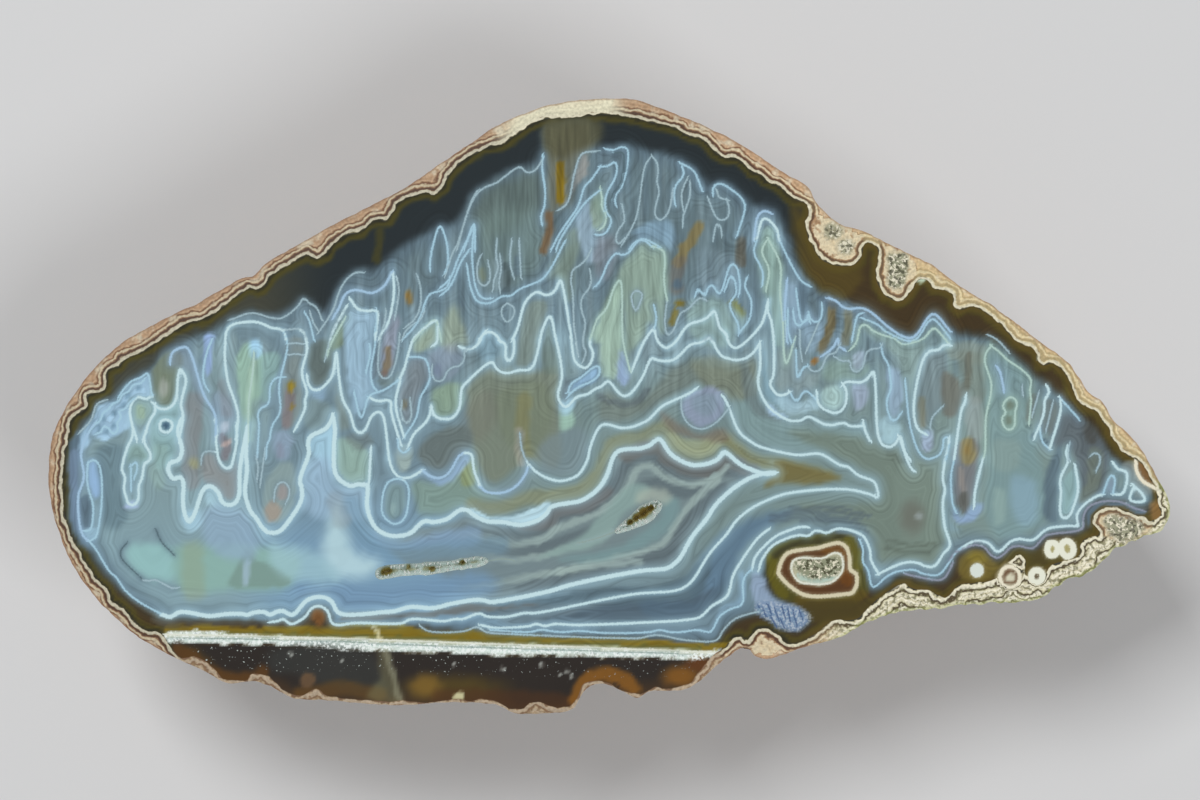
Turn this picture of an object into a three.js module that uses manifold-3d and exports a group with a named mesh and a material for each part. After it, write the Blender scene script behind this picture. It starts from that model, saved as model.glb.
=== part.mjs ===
// An agate half nodule: one stone with a flat polished face, a lumpy pitted rind behind it, and two narrow
// pockets in the face that are lined with small quartz crystals.
// Millimetres, +Z up. The stone lies face up on a small flat spot at the back of its rind.
// The origin is the centre of that flat spot. +X runs along the face to its pointed end.
import * as THREE from "three";
import { ParametricGeometry } from "three/addons/geometries/ParametricGeometry.js";
import { mergeVertices } from "three/addons/utils/BufferGeometryUtils.js";
import Module from "manifold-3d";

const wasm = await Module();
wasm.setup();

// Driving dimensions
const FACE_WIDTH = 134;
const FACE_HEIGHT = 74;
const STONE_DEPTH = 34;
const FLAT_SPOT_LENGTH = 34;
const FLAT_SPOT_WIDTH = 20;
const POCKET_DEPTH = 3.2;

// The rind's relief: broad swells, small lumps, pits that bubbles of the host lava pressed, and knobs
const SWELL_ACROSS = 17;
const SWELL_HEIGHT = 1.9;
const LUMP_ACROSS = 7;
const LUMP_HEIGHT = 1.1;
const PIT_DEPTH = { least: 0.9, most: 1.8 };
const KNOB_HEIGHT = 1.2;
const DIMPLE_RADIUS = { least: 3.4, most: 7.2 };
const DIMPLE_COUNT = 64;

// The pockets' crusts: a floor with quartz points standing on it
const CRUST_GAP = 0.3;
const CRUST_FLOOR = 1.1;
const QUARTZ_RADIUS = { least: 0.32, most: 0.54 };
const QUARTZ_HEIGHT = { least: 1.5, most: 2 };
const QUARTZ_SUNK = 0.35;
const QUARTZ_BELOW_FACE = 0.15;
const QUARTZ_LEAN = 0.35;
const QUARTZ_SIDES = 6;

// How finely the stone is faceted
const COLUMNS = 168;
const DOME_RINGS = 19;
const POCKET_STEPS = 16;

// The face's outline, clockwise from its left end, in picture pixels (x to the right, y down)
const OUTLINE_PX = [
  [49, 480], [52, 440], [65, 409], [90, 373], [125, 341], [160, 321], [200, 302], [244, 277], [253, 276],
  [264, 265], [310, 238], [360, 211], [400, 191], [434, 168], [470, 144], [495, 127], [530, 111], [560, 103],
  [600, 99], [635, 100], [660, 108], [700, 124], [740, 144], [780, 170], [808, 188], [818, 204], [836, 222],
  [865, 232], [895, 247], [930, 264], [960, 286], [1000, 311], [1040, 342], [1067, 362], [1078, 376],
  [1088, 392], [1102, 402], [1114, 421], [1128, 434], [1142, 450], [1158, 479], [1168, 500], [1169, 515],
  [1163, 530], [1140, 538], [1112, 551], [1096, 567], [1060, 584], [1038, 599], [1000, 602], [960, 605],
  [935, 609], [900, 611], [868, 622], [840, 637], [800, 648], [768, 659], [755, 655], [746, 647], [730, 655],
  [712, 670], [688, 688], [668, 691], [650, 691], [638, 698], [624, 692], [606, 684], [590, 686], [580, 698],
  [572, 709], [545, 713], [515, 713], [500, 706], [455, 702], [390, 705], [330, 700], [293, 698], [272, 687],
  [256, 681], [228, 683], [208, 673], [172, 656], [140, 638], [100, 602], [72, 564], [54, 516],
];
const CENTRE_PX = [600, 428];
const LEFT_PX = 49;
const RIGHT_PX = 1169;
const MM_PER_PX = FACE_WIDTH / (RIGHT_PX - LEFT_PX);

// The pockets, as points along the middle of each in picture pixels, with the half-width there
const LONG_POCKET_PX = [
  [379, 574, 6.5], [387, 572, 7.5], [402, 570, 6], [422, 569, 6.5], [442, 567, 5.5], [462, 564, 5.5],
  [476, 562, 6], [487, 561, 3.5],
];
const SHORT_POCKET_PX = [
  [617, 530, 3], [628, 525, 6], [638, 519, 8], [648, 512, 9], [655, 507, 5],
];

const { lerp, smoothstep } = THREE.MathUtils;
const toMm = ([x, y]) =>
  new THREE.Vector2((x - CENTRE_PX[0]) * MM_PER_PX, (CENTRE_PX[1] - y) * MM_PER_PX);

// A repeatable value between 0 and 1 for any three whole numbers
function scatter(i, j, k) {
  const s = Math.sin(i * 127.1 + j * 311.7 + k * 74.7) * 43758.5453;
  return s - Math.floor(s);
}

const within = (range, share) => lerp(range.least, range.most, share);

// Smooth noise from -1 to 1 with lumps about one unit across
function lumps(p) {
  const cell = [Math.floor(p.x), Math.floor(p.y), Math.floor(p.z)];
  const [fx, fy, fz] = [p.x - cell[0], p.y - cell[1], p.z - cell[2]].map((f) => f * f * (3 - 2 * f));
  const at = (i, j, k) => scatter(cell[0] + i, cell[1] + j, cell[2] + k);
  const layer = (k) =>
    lerp(lerp(at(0, 0, k), at(1, 0, k), fx), lerp(at(0, 1, k), at(1, 1, k), fx), fy);
  return lerp(layer(0), layer(1), fz) * 2 - 1;
}

// The rim of the face, as points evenly spaced along its outline
function rimPoints() {
  const points = OUTLINE_PX.map(toMm).map((p) => new THREE.Vector3(p.x, p.y, 0));
  const curve = new THREE.CatmullRomCurve3(points, true, "centripetal");
  curve.arcLengthDivisions = 2000;
  return curve.getSpacedPoints(COLUMNS).slice(0, COLUMNS);
}

// An outline with each point drawn to the mean of its neighbours, and never drawn in by more than asked
function evened(outline, reach, mostDrawnIn) {
  return outline.map((point, i) => {
    const mean = new THREE.Vector3();
    for (let k = -reach; k <= reach; k++) mean.add(outline[(i + k + COLUMNS) % COLUMNS]);
    mean.divideScalar(2 * reach + 1);
    return mean.setLength(Math.max(mean.length(), point.length() - mostDrawnIn));
  });
}

const rim = rimPoints();
const behindRim = evened(rim, 4, 0.3);
const belly = evened(evened(rim, 6, 2), 6, 2);

// A point of the smooth dome: slope runs from 0 at the rim to a quarter turn at the flat spot
function domePoint(column, slope) {
  const edge = rim[column]
    .clone()
    .lerp(behindRim[column], smoothstep(slope, 0, 0.2))
    .lerp(belly[column], smoothstep(slope, 0.15, 0.7));
  const bearing = Math.atan2(edge.y / FACE_HEIGHT, edge.x / FACE_WIDTH);
  const flat = new THREE.Vector3(
    (FLAT_SPOT_LENGTH / 2) * Math.cos(bearing),
    (FLAT_SPOT_WIDTH / 2) * Math.sin(bearing),
    0,
  );
  // Powers just under 1 fill an ellipsoid out, so that the sides stand steeper behind the rim
  const spread = Math.cos(slope) ** 0.92;
  const drop = Math.sin(slope) ** 0.96;
  return flat.lerp(edge, spread).setZ(STONE_DEPTH * (1 - drop));
}

function domeNormal(p) {
  return new THREE.Vector3(
    p.x / (FACE_WIDTH / 2) ** 2,
    p.y / (FACE_HEIGHT / 2) ** 2,
    (p.z - STONE_DEPTH) / STONE_DEPTH ** 2,
  ).normalize();
}

// Pits and knobs, each turned round the dome from the last by the golden angle
const GOLDEN_SHARE = (3 - Math.sqrt(5)) / 2;
const DIMPLES = Array.from({ length: DIMPLE_COUNT }, (_, i) => {
  const turns = i * GOLDEN_SHARE;
  const column = Math.floor((turns - Math.floor(turns)) * COLUMNS);
  const slope = lerp(0.16, 1.18, scatter(i, 3, 1));
  return {
    at: domePoint(column, slope),
    radius: within(DIMPLE_RADIUS, scatter(i, 5, 2)),
    depth: i % 3 === 0 ? -KNOB_HEIGHT : within(PIT_DEPTH, scatter(i, 7, 3)),
  };
});

// How far the rind stands out from the smooth dome
function relief(p) {
  let out = SWELL_HEIGHT * lumps(p.clone().divideScalar(SWELL_ACROSS));
  out += LUMP_HEIGHT * lumps(p.clone().divideScalar(LUMP_ACROSS));
  for (const dimple of DIMPLES) {
    const share = p.distanceTo(dimple.at) / dimple.radius;
    if (share < 1) out -= dimple.depth * (1 - share * share) ** 1.5;
  }
  return out;
}

// The whole stone: face centre, rim, dome, flat spot's edge and its centre, as rings of one surface
function stoneGeometry() {
  const lastRing = DOME_RINGS + 2;
  const surface = (u, v, target) => {
    const column = Math.round(u * COLUMNS) % COLUMNS;
    const ring = Math.round(v * lastRing);
    if (ring === 0) return target.set(0, 0, STONE_DEPTH);
    if (ring === lastRing) return target.set(0, 0, 0);
    const slope = ((ring - 1) / DOME_RINGS) * (Math.PI / 2);
    const base = domePoint(column, slope);
    // The relief grows from nothing at the rim, and is gone again at the flat spot
    const fade = smoothstep(slope, 0, 0.16) * (1 - smoothstep(slope, 1.25, 1.5));
    target.copy(base).addScaledVector(domeNormal(base), relief(base) * fade);
    const lowest = ring === lastRing - 1 ? 0 : 0.05;
    target.z = Math.max(target.z, lowest);
    return target;
  };
  return new ParametricGeometry(surface, COLUMNS, lastRing);
}

// A closed geometry as a manifold-3d solid, with its triangles that closed to a line dropped
function solidOf(geometry) {
  const bare = geometry.clone();
  bare.deleteAttribute("normal");
  bare.deleteAttribute("uv");
  const merged = mergeVertices(bare, 1e-4);
  const corners = [...merged.index.array];
  const kept = [];
  for (let i = 0; i < corners.length; i += 3) {
    const [a, b, c] = corners.slice(i, i + 3);
    if (a !== b && b !== c && a !== c) kept.push(a, b, c);
  }
  return new wasm.Manifold(
    new wasm.Mesh({
      numProp: 3,
      vertProperties: merged.attributes.position.array,
      triVerts: new Uint32Array(kept),
    }),
  );
}

function geometryOf(solid) {
  const mesh = solid.getMesh();
  const geometry = new THREE.BufferGeometry();
  geometry.setAttribute("position", new THREE.BufferAttribute(mesh.vertProperties, 3));
  geometry.setIndex(new THREE.BufferAttribute(mesh.triVerts, 1));
  geometry.computeVertexNormals();
  return geometry;
}

// The middle of a pocket as a curve, with the pocket's half-width there as its z
function pocketSpine(pocketPx) {
  const points = pocketPx.map((point) => {
    const at = toMm(point);
    return new THREE.Vector3(at.x, at.y, point[2] * MM_PER_PX);
  });
  return new THREE.CatmullRomCurve3(points);
}

// The direction across a pocket, at a share of its length
function acrossPocket(spine, share) {
  const along = spine.getTangent(share);
  return new THREE.Vector3(-along.y, along.x, 0).normalize();
}

// The outline of a pocket, drawn in from its wall by the given distance
function pocketShape(pocketPx, inset) {
  const spine = pocketSpine(pocketPx);
  const sides = [[], []];
  for (let i = 0; i <= POCKET_STEPS; i++) {
    const at = spine.getPoint(i / POCKET_STEPS);
    const across = acrossPocket(spine, i / POCKET_STEPS);
    const half = at.z - inset;
    sides[0].push(new THREE.Vector2(at.x + across.x * half, at.y + across.y * half));
    sides[1].unshift(new THREE.Vector2(at.x - across.x * half, at.y - across.y * half));
  }
  return new THREE.Shape([...sides[0], ...sides[1]]);
}

function pocketPrism(pocketPx, inset, floor, top) {
  const prism = new THREE.ExtrudeGeometry(pocketShape(pocketPx, inset), {
    depth: top - floor,
    bevelEnabled: false,
  });
  prism.translate(0, 0, floor);
  return solidOf(prism);
}

// One six-sided quartz point with its foot at the origin
function quartzPoint(radius, height) {
  const profile = [
    new THREE.Vector2(0, 0),
    new THREE.Vector2(radius, 0),
    new THREE.Vector2(radius, height - radius),
    new THREE.Vector2(0, height),
  ];
  const point = new THREE.LatheGeometry(profile, QUARTZ_SIDES);
  point.rotateX(Math.PI / 2);
  return point;
}

// The crystal lining of one pocket: a floor with a row of quartz points down each side, which lean inwards
function crystalCrust(pocketPx, rows, seed) {
  const floor = STONE_DEPTH - POCKET_DEPTH + CRUST_GAP;
  const footTop = floor + CRUST_FLOOR;
  const spine = pocketSpine(pocketPx);
  const up = new THREE.Vector3(0, 0, 1);
  let crust = pocketPrism(pocketPx, CRUST_GAP, floor, footTop);
  for (let row = 0; row < rows; row++) {
    const share = (row + 0.5) / rows;
    const at = spine.getPoint(share);
    const across = acrossPocket(spine, share);
    for (const side of [-1, 1]) {
      const radius = within(QUARTZ_RADIUS, scatter(row, side, seed));
      const height = within(QUARTZ_HEIGHT, scatter(row, side, seed + 5));
      const point = quartzPoint(radius, height);
      point.rotateZ(scatter(row, side, seed + 9) * Math.PI);
      const tip = across.clone().multiplyScalar(-side * QUARTZ_LEAN).setZ(1).normalize();
      point.applyQuaternion(new THREE.Quaternion().setFromUnitVectors(up, tip));
      const out = side * (at.z - CRUST_GAP) * 0.7;
      point.translate(at.x + across.x * out, at.y + across.y * out, footTop - QUARTZ_SUNK);
      crust = crust.add(solidOf(point));
    }
  }
  const room = pocketPrism(pocketPx, CRUST_GAP, floor, STONE_DEPTH - QUARTZ_BELOW_FACE);
  // Points that lean together can shut in a hollow, which comes apart as a body of its own
  const bodies = crust.intersect(room).decompose();
  return bodies.reduce((most, body) => (body.volume() > most.volume() ? body : most));
}

function stoneSolid() {
  const above = STONE_DEPTH + 1;
  const floor = STONE_DEPTH - POCKET_DEPTH;
  return solidOf(stoneGeometry())
    .subtract(pocketPrism(LONG_POCKET_PX, 0, floor, above))
    .subtract(pocketPrism(SHORT_POCKET_PX, 0, floor, above));
}

function piece(name, solid, material) {
  const mesh = new THREE.Mesh(geometryOf(solid), material);
  mesh.name = name;
  return mesh;
}

const agate = new THREE.MeshStandardMaterial({ color: 0x7d929a, roughness: 0.18, metalness: 0 });
const quartz = new THREE.MeshStandardMaterial({ color: 0xe3e8e2, roughness: 0.12, metalness: 0 });

const nodule = new THREE.Group();
nodule.add(piece("half_nodule", stoneSolid(), agate));
nodule.add(piece("long_pocket_crystals", crystalCrust(LONG_POCKET_PX, 13, 1), quartz));
nodule.add(piece("short_pocket_crystals", crystalCrust(SHORT_POCKET_PX, 5, 2), quartz));

export default nodule;
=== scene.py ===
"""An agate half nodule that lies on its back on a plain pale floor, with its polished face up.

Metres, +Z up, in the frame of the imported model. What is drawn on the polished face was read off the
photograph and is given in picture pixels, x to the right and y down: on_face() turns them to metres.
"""
import math

import bmesh
import bpy
import numpy as np
from mathutils import Matrix, Vector
from mathutils.bvhtree import BVHTree


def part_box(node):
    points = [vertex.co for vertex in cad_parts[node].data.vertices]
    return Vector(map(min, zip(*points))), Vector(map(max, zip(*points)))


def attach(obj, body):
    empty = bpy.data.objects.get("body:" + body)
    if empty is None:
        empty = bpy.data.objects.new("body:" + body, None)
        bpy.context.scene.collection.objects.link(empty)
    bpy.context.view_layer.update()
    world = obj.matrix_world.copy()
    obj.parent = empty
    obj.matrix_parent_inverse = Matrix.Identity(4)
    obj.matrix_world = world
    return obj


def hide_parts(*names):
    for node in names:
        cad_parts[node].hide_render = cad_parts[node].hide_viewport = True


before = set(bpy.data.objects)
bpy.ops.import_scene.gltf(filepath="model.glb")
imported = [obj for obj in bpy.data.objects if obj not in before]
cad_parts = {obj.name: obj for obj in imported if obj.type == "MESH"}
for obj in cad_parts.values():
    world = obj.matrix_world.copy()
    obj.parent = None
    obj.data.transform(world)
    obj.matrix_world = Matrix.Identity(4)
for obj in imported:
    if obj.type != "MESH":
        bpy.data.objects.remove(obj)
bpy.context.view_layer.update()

MM = 0.001
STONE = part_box("half_nodule")
FACE_Z = STONE[1].z
LEFT_PX = 49
RIGHT_PX = 1169
PX = (STONE[1].x - STONE[0].x) / (RIGHT_PX - LEFT_PX)   # one picture pixel, about 0.12 mm
CENTRE_PX = np.array([600.0, 428.0])                    # the frame's origin
PICTURE_PX = (1200, 800)
SIDES = {"right": (0, False), "left": (0, True), "below": (1, False), "above": (1, True)}

FLAT_SPOT = (34 * MM, 20 * MM)
POCKET_DEPTH = 3.2 * MM
CELL = 0.335 * MM          # the polished face's mesh
CRUST_CELL = 0.22 * MM     # the mesh of the crust in the pockets
RIM_POINTS = 820
DOME_RINGS = 40
LINE_SETS = 6              # lines that run close together go into different sets
GLOW = 0.5                 # how strongly a line tints the agate beside it
BAND_STYLES = ("bold", "white", "sky", "mint", "peri")   # the lines that fine bands run beside
BAND_REACH = 34
BAND_STRENGTH = 0.19

# Colours, as sRGB hex
PALETTE = {
    "navy": "222b2f", "smoke": "2a2420", "olive_black": "2b2a1b", "umber": "40321a",
    "olive_brown": "4f4816", "gold": "7f6a14", "amber": "8a5a1a", "brown": "5c331a", "olive_grey": "74806c",
    "sage": "7b8f86", "mint": "93b2a8", "aqua": "97c4c4", "teal": "8aa5a8", "steel": "718a96",
    "slate": "566b79", "haze": "9db4bc", "blue": "83a4ba", "deep_blue": "7093b0", "periwinkle": "93abd2",
    "mauve": "807f86", "sky": "a9d0e2", "white": "c9e6ec", "salmon": "d3b18c", "tan": "b98c62",
    "cream": "d9d6bd", "bone": "efe9d2",
}

# The polished face's outline, clockwise from its left end
OUTLINE = """49,480 52,440 65,409 90,373 125,341 160,321 200,302 244,277 253,276 264,265 310,238 360,211
400,191 434,168 470,144 495,127 530,111 560,103 600,99 635,100 660,108 700,124 740,144 780,170 808,188
818,204 836,222 865,232 895,247 930,264 960,286 1000,311 1040,342 1067,362 1078,376 1088,392 1102,402
1114,421 1128,434 1142,450 1158,479 1168,500 1169,515 1163,530 1140,538 1112,551 1096,567 1060,584
1038,599 1000,602 960,605 935,610 900,611 868,622 840,637 800,648 768,659 755,655 746,647 730,655
712,670 688,688 668,691 650,691 638,698 624,692 606,684 590,686 580,698 572,709 545,713 515,713 500,706
455,702 390,705 330,700 293,698 272,687 256,681 228,683 208,673 172,656 140,638 100,602 72,564 54,516"""

# The two pockets: points along the middle of each, with the half-width there
LONG_POCKET = """375.5,574.5,3 378.5,574,6 387,572,7.5 402,570,6 422,569,6.5 442,567,5.5 462,564,5.5
476,562,6 484,561,4.2 488,560.5,2.4"""
SHORT_POCKET = "615,532,2.2 618,530.5,3.2 628,525,6 638,519,8.5 648,512,9.5 656,506,7 660,502,4"

# Their deepest hollows, where the crystals leave the floor bare: (x, y, radius)
LONG_HOLLOWS = [(385.5, 571.5, 5.5), (408, 566, 2.5), (432, 570, 3), (462, 562, 2.5)]
SHORT_HOLLOWS = [(630, 522, 3), (636, 517, 4), (643, 512, 4.5), (650, 508, 3.5)]
CRYSTAL_GAP = 2.9   # pixels between the crystals' middles

# Lines of the agate: each style is (colour, half-width, glow colour, glow reach), in pixels
STYLES = {
    "bold": ("white", 2.1, "sky", 4),
    "white": ("white", 1.25, "sky", 3),
    "sky": ("sky", 0.95, "blue", 3),
    "mint": ("b5d3cb", 0.95, "mint", 3),
    "peri": ("a6c8e2", 1.2, "8fb0cc", 4),
    "lilac": ("8f97a9", 0.9, "6f7d8a", 3),
    "thin": ("a4bfc9", 0.8, "steel", 2),
    "dark": ("536a72", 0.6, "slate", 2),
    "cream": ("bone", 1.7, "cream", 1),
    "ring": ("d9d2b4", 1.8, "cream", 1),
    "bone": ("e6eadc", 0.9, "cream", 1),
    "haze": ("90a49c", 0.5, "haze", 1),
    "dash": ("4a6288", 0.8, "deep_blue", 1),
    "disc": ("dde6dd", 4.2, "cream", 1),
    "blob": ("eceedd", 3.0, "cream", 1),
}

# Each line is a style and the points that it runs through
LEFT_CREST_LINES = """
thin 79,433 91,420 97,404 106,400
sky 118,398 124,389 132,381 142,377 147,373 152,395
white 152,396 146,399 138,397 133,401 130,409 131,420 137,440
white 153,403 158,408 166,409 172,406 176,399 178,378 180,369 184,374 186,380 181,404 183,416 179,440
white 155,405 155,412 150,420 143,440
peri 170,363 171,356 174,351 180,348 186,347 190,352 204,395 215,415 216,440
sky 212,340 207,352 203,375 205,385 208,390
white 236,440 238,415 235,402 228,382 225,360 225,348 229,327 256,322 272,328 280,329 284,332 286,340
mint 254,353 253,370 249,400 248,440
thin 230,320 252,313 272,318 282,318 298,306 304,298 309,303 316,307 322,320
"""
CREST_LINES = """
thin 284,330 300,329 304,332 307,340
sky 305,313 309,320 314,340
thin 310,312 313,322 318,330
thin 318,333 332,312 340,290 346,280 355,273 363,272
peri 333,318 339,308 343,298 348,292 356,290 372,293 379,290 385,285 392,272
white 393,273 394,290 392,308 387,325 382,332 379,340
thin 397,278 399,290 395,318
white 350,299 358,309 366,311 377,311 377,325 375,340
white 347,306 334,329 330,340
sky 450,278 447,287 440,291 430,294 425,303 421,315 415,326 402,340
thin 417,275 420,285 421,298 419,311 413,321 405,327
mint 415,340 420,333 435,320 439,330 441,340
sky 430,270 430,262 433,245 440,226 446,240 448,255 447,268 444,274
thin 457,250 467,214 476,195 484,188 496,183 520,167 526,172 532,172 538,167 543,158
sky 464,250 474,224 475,250
sky 543,155 542,165 545,190 545,200 544,208 541,216 542,224
thin 558,210 565,206 569,199 575,171 582,154 598,151
sky 605,149 614,150 621,147 627,149 628,160 622,186 617,193 615,199 616,206
dark 614,153 623,153 624,163 619,186 613,193 611,202
sky 600,167 608,166 615,162 617,168 615,178 607,193 605,203 607,213 611,219 610,226 604,234 596,235
sky 600,167 591,180 585,186 578,206 560,233 551,250
mint 600,188 602,198 602,207 606,216 604,226 599,230
sky 600,190 585,203 560,240 556,250
thin 650,158 645,166 636,218 622,245
thin 622,205 624,215 624,222 619,229 616,237 618,244 627,236
sky 629,250 634,243 640,240 647,242 652,247
thin 652,156 657,163 658,172 657,181 659,191 655,210 656,217 660,220 665,217 669,210 673,190
sky 675,205 674,193 676,185 681,179 684,173 682,167
sky 680,163 690,168 695,173 702,190
thin 688,178 685,183 682,192 682,203 684,212
thin 690,182 690,195 683,218 683,226
sky 713,195 713,188 717,184 722,184 736,193 742,199 745,206 737,236
thin 708,198 714,213 718,219 723,220 728,217 729,208 727,200
thin 717,190 719,197 728,200
thin 713,240 717,224 720,226 722,236
peri 754,240 758,216 764,211 771,213
white 757,237 763,219 767,219 772,223 777,230 779,240
peri 828,298 836,301 843,307 850,309 858,308 865,309 872,313 887,326 902,336 912,338 918,333 933,314 950,331
sky 852,340 858,315 862,313
sky 862,318 878,325 885,331 908,341 915,340 922,332 927,323 933,319 938,323 950,338
mint 850,350 856,343 861,326 866,325 872,330 880,334 895,339 902,344 918,341 924,338 934,328 939,332 949,344
thin 988,335 996,339 1009,352
"""
UPPER_LINES = """
thin 478,190 472,200 457,245 453,252 445,276
sky 474,226 458,259 452,275 447,282 440,288
sky 469,250 461,262 452,283 447,290 441,295
sky 474,228 472,255 474,278 476,288 480,296 486,299 491,298
sky 467,265 470,285 473,294 477,301 482,303 490,303 503,296 510,296 520,289 541,280 546,275
thin 481,255 478,262 477,272 479,282 484,286 489,282 490,272 488,262
thin 497,240 496,255 498,268 494,280 493,290
thin 500,292 499,282 501,270 500,255
thin 512,240 510,255 511,268 514,278
thin 519,240 521,278
sky 546,275 551,268 565,241
thin 507,303 502,308 502,316 507,322 513,317 514,308 507,303
white 479,340 484,334 490,332 496,335 500,341
white 512,340 517,330 526,301 537,292 545,295 551,294 556,289 560,280 572,340
white 540,340 543,328 550,316 556,340
thin 591,250 587,258 580,265 573,270 571,280 573,295 574,325 578,355
thin 590,270 591,282 588,290 583,296 581,303 582,312 585,322 583,345 586,352 583,361
sky 660,247 643,239 637,242 628,253 622,255 617,253 612,257 608,263 600,281 595,287
thin 637,290 632,294 632,302 636,311 640,303 642,294 637,290
mint 590,340 598,318 604,312 608,305 614,288 620,280 623,340 630,371
sky 654,306 656,315 656,322 654,329
mint 650,245 663,251 665,262 664,275 665,290 667,300
thin 667,300 665,325 668,335 673,331 681,313 688,309 700,298 706,300
sky 695,297 698,289 705,296 708,288 712,285 719,294 722,290 730,266 733,264 737,268 739,276 740,286 739,295
sky 725,290 731,276 734,279 736,287 736,294 730,303 731,310 738,324 739,334
thin 703,341 709,337 713,341
sky 757,240 754,250 756,258 760,265 763,275 762,285
mint 767,240 764,245 762,252 769,270 766,290
mint 768,239 779,260 781,270 780,290 783,325 784,355 786,364 789,358 795,338
sky 778,236 785,252 799,278 804,283 810,286
peri 787,280 785,310 787,342
sky 796,290 799,312 801,320 804,323 807,318 808,310 810,318 815,322 820,320 822,312 822,304
sky 747,277 745,286 751,300 751,312 749,320 739,333
"""
MIDDLE_LEFT_LINES = """
sky 284,332 287,341 287,350 280,380 279,390 280,412 273,424 271,430 270,438 267,445 266,458
white 300,330 304,333 306,340 307,350 302,373 307,393 305,400 305,408 295,430
sky 284,377 276,378 272,382 270,388 269,402 266,406 261,408 258,414 259,425 257,458
thin 288,344 295,343 303,344
thin 288,355 295,354 303,355
thin 345,310 341,318 335,325 332,332 325,360
mint 345,318 330,346 327,356
white 307,376 308,383 312,389 318,390 323,387 332,376 336,352 339,378 343,400 350,413 355,429 360,433
  365,430 371,417 375,413 380,412 383,416 385,424 389,458
sky 354,392 361,418 364,412 368,398 372,394 384,390 399,380
white 399,380 404,369 413,340 418,334 434,321 437,321 438,330 437,342 433,346
white 369,397 374,400 381,401 388,400 391,402 391,410 401,445
sky 376,310 377,320 375,330 375,345 371,368 371,378 373,386 377,391
thin 386,310 385,320 380,340 378,365 379,373 383,378 388,378 392,373 397,356 400,334
thin 425,310 420,320 412,325 405,332 402,340
sky 370,345 370,355 366,372
sky 410,357 418,357 425,359 429,368 430,378 426,388 421,396 416,418 404,437
white 400,381 396,398 396,408 404,437
thin 402,402 401,412 404,421 408,423 411,417 410,399
white 408,447 414,434 426,422 430,414 431,404 433,413 438,418 445,419 452,418 457,413 460,405 462,388
  466,383 492,362 496,368 501,372 508,373 520,370 528,370 533,366 536,358 540,340
thin 432,366 432,374 436,381 443,380 447,372 453,367 459,366 464,360 465,350 472,348
white 460,347 466,349 473,348 479,343 482,336 486,331
white 500,341 505,344 506,359 509,361 512,358 514,350 514,340
white 553,325 562,375 558,395 560,402 566,407 577,397 588,394 595,389 602,386 608,381 618,392 624,396
  630,394 642,378 652,358 657,360 665,361 673,360 680,355 690,345 702,342 708,338 713,342 717,350 722,356
  730,359 738,360 746,358 753,353 760,343
white 571,338 575,361 580,366 586,368 591,362 593,352 590,346 590,340
sky 568,392 570,386 573,382 580,378 594,367 598,366 600,370 598,376 592,381 577,388 567,397
white 632,370 645,340 654,329 656,337 660,344 666,348 672,345 677,340 686,327 692,323 700,321 708,317
  714,311 720,328 726,334 728,341 731,346 736,348 742,345 758,329 763,321 768,301
white 465,453 471,454 474,470 480,486
peri 480,486 485,491 492,493 500,493 508,491 515,487 521,481 526,473 528,467
thin 528,463 524,456 521,445 520,434
white 527,462 534,470 541,475 550,479 560,481 570,479 578,475 584,467 588,458 590,448 602,425 622,428
  632,427 640,424 648,420 660,408 666,404 690,393 697,388
"""
MIDDLE_RIGHT_LINES = """
white 768,301 768,312 771,320 773,332 774,350 773,377 770,383 773,390 778,395 784,395 790,392
white 760,343 760,368 758,380 759,388 763,398 768,406 773,411 788,420 795,421 802,420 806,417 810,417
  824,424 832,425 844,423 850,426 863,426
white 863,422 865,430 870,441
sky 790,392 793,398 797,401 805,391 816,399
thin 681,401 682,412 686,421 693,427 702,429 711,426 719,420 729,408
white 723,396 727,403 737,428 742,435 750,441 758,446 790,454 800,455 820,454 840,465 848,467 858,475
  873,481 876,485 878,498 872,495 852,490 835,489 805,491 785,494 768,500 752,508 737,520 726,535 710,553
  695,577 690,583 683,588 673,591 635,594 535,613 525,613 505,617 485,616 482,614 476,614 463,619 455,619
  445,621 415,619 408,620 403,623 355,623 338,625 332,623 328,612 324,608 319,606 314,607 309,611 306,616
  291,624 283,619 278,621 270,622
sky 796,350 798,378 804,367 808,366
sky 788,310 788,330 791,342
sky 793,310 795,322 799,326 808,318 810,322
thin 800,331 800,345 802,360
thin 808,366 812,371 820,370 828,355 835,353 840,345
thin 806,352 819,322
peri 822,356 828,352 834,346 838,338 839,346 845,350
thin 835,357 842,361 850,361 851,368 856,372 862,368 867,352 872,349 880,348 882,345
white 842,385 846,382 862,382 868,378 873,371 875,380 877,425 879,438 883,445 890,447 896,443 900,436
  905,452 910,460
white 817,392 817,400 821,407 828,411 835,413 842,410 846,402 846,390 843,384
white 950,345 944,345 938,350 930,351 924,358 918,378 914,402 914,415 916,425 920,431 926,434
sky 905,380 910,425 917,448 921,455 927,459 933,458 940,454 943,446 944,438 949,438 946,460
sky 881,345 883,355 888,364 890,375 891,388 887,400 888,412 892,420 896,420 901,413
thin 930,428 932,418 943,406
white 966,395 965,402 962,408 960,418 954,460
mint 991,346 986,353 985,362 991,382 991,393 986,417 985,452 983,460
mint 991,346 997,350 1009,361 1021,369 1031,380 1030,390 1031,400 1029,424
peri 997,367 1000,372 1004,391
mint 1010,397 1005,401 1003,407 1006,413 1002,418 1004,426 1009,430 1014,427 1015,419 1015,412 1017,405
  1015,399 1010,397
thin 1022,386 1023,395
white 1047,386 1049,392 1045,400 1044,412 1041,422 1034,438
white 1060,398 1061,408 1050,448
sky 1060,398 1079,419
thin 1032,416 1039,392
thin 1046,431 1053,402
sky 1040,427 1041,437 1044,444 1050,449
thin 1070,443 1068,452 1069,460
"""
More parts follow.
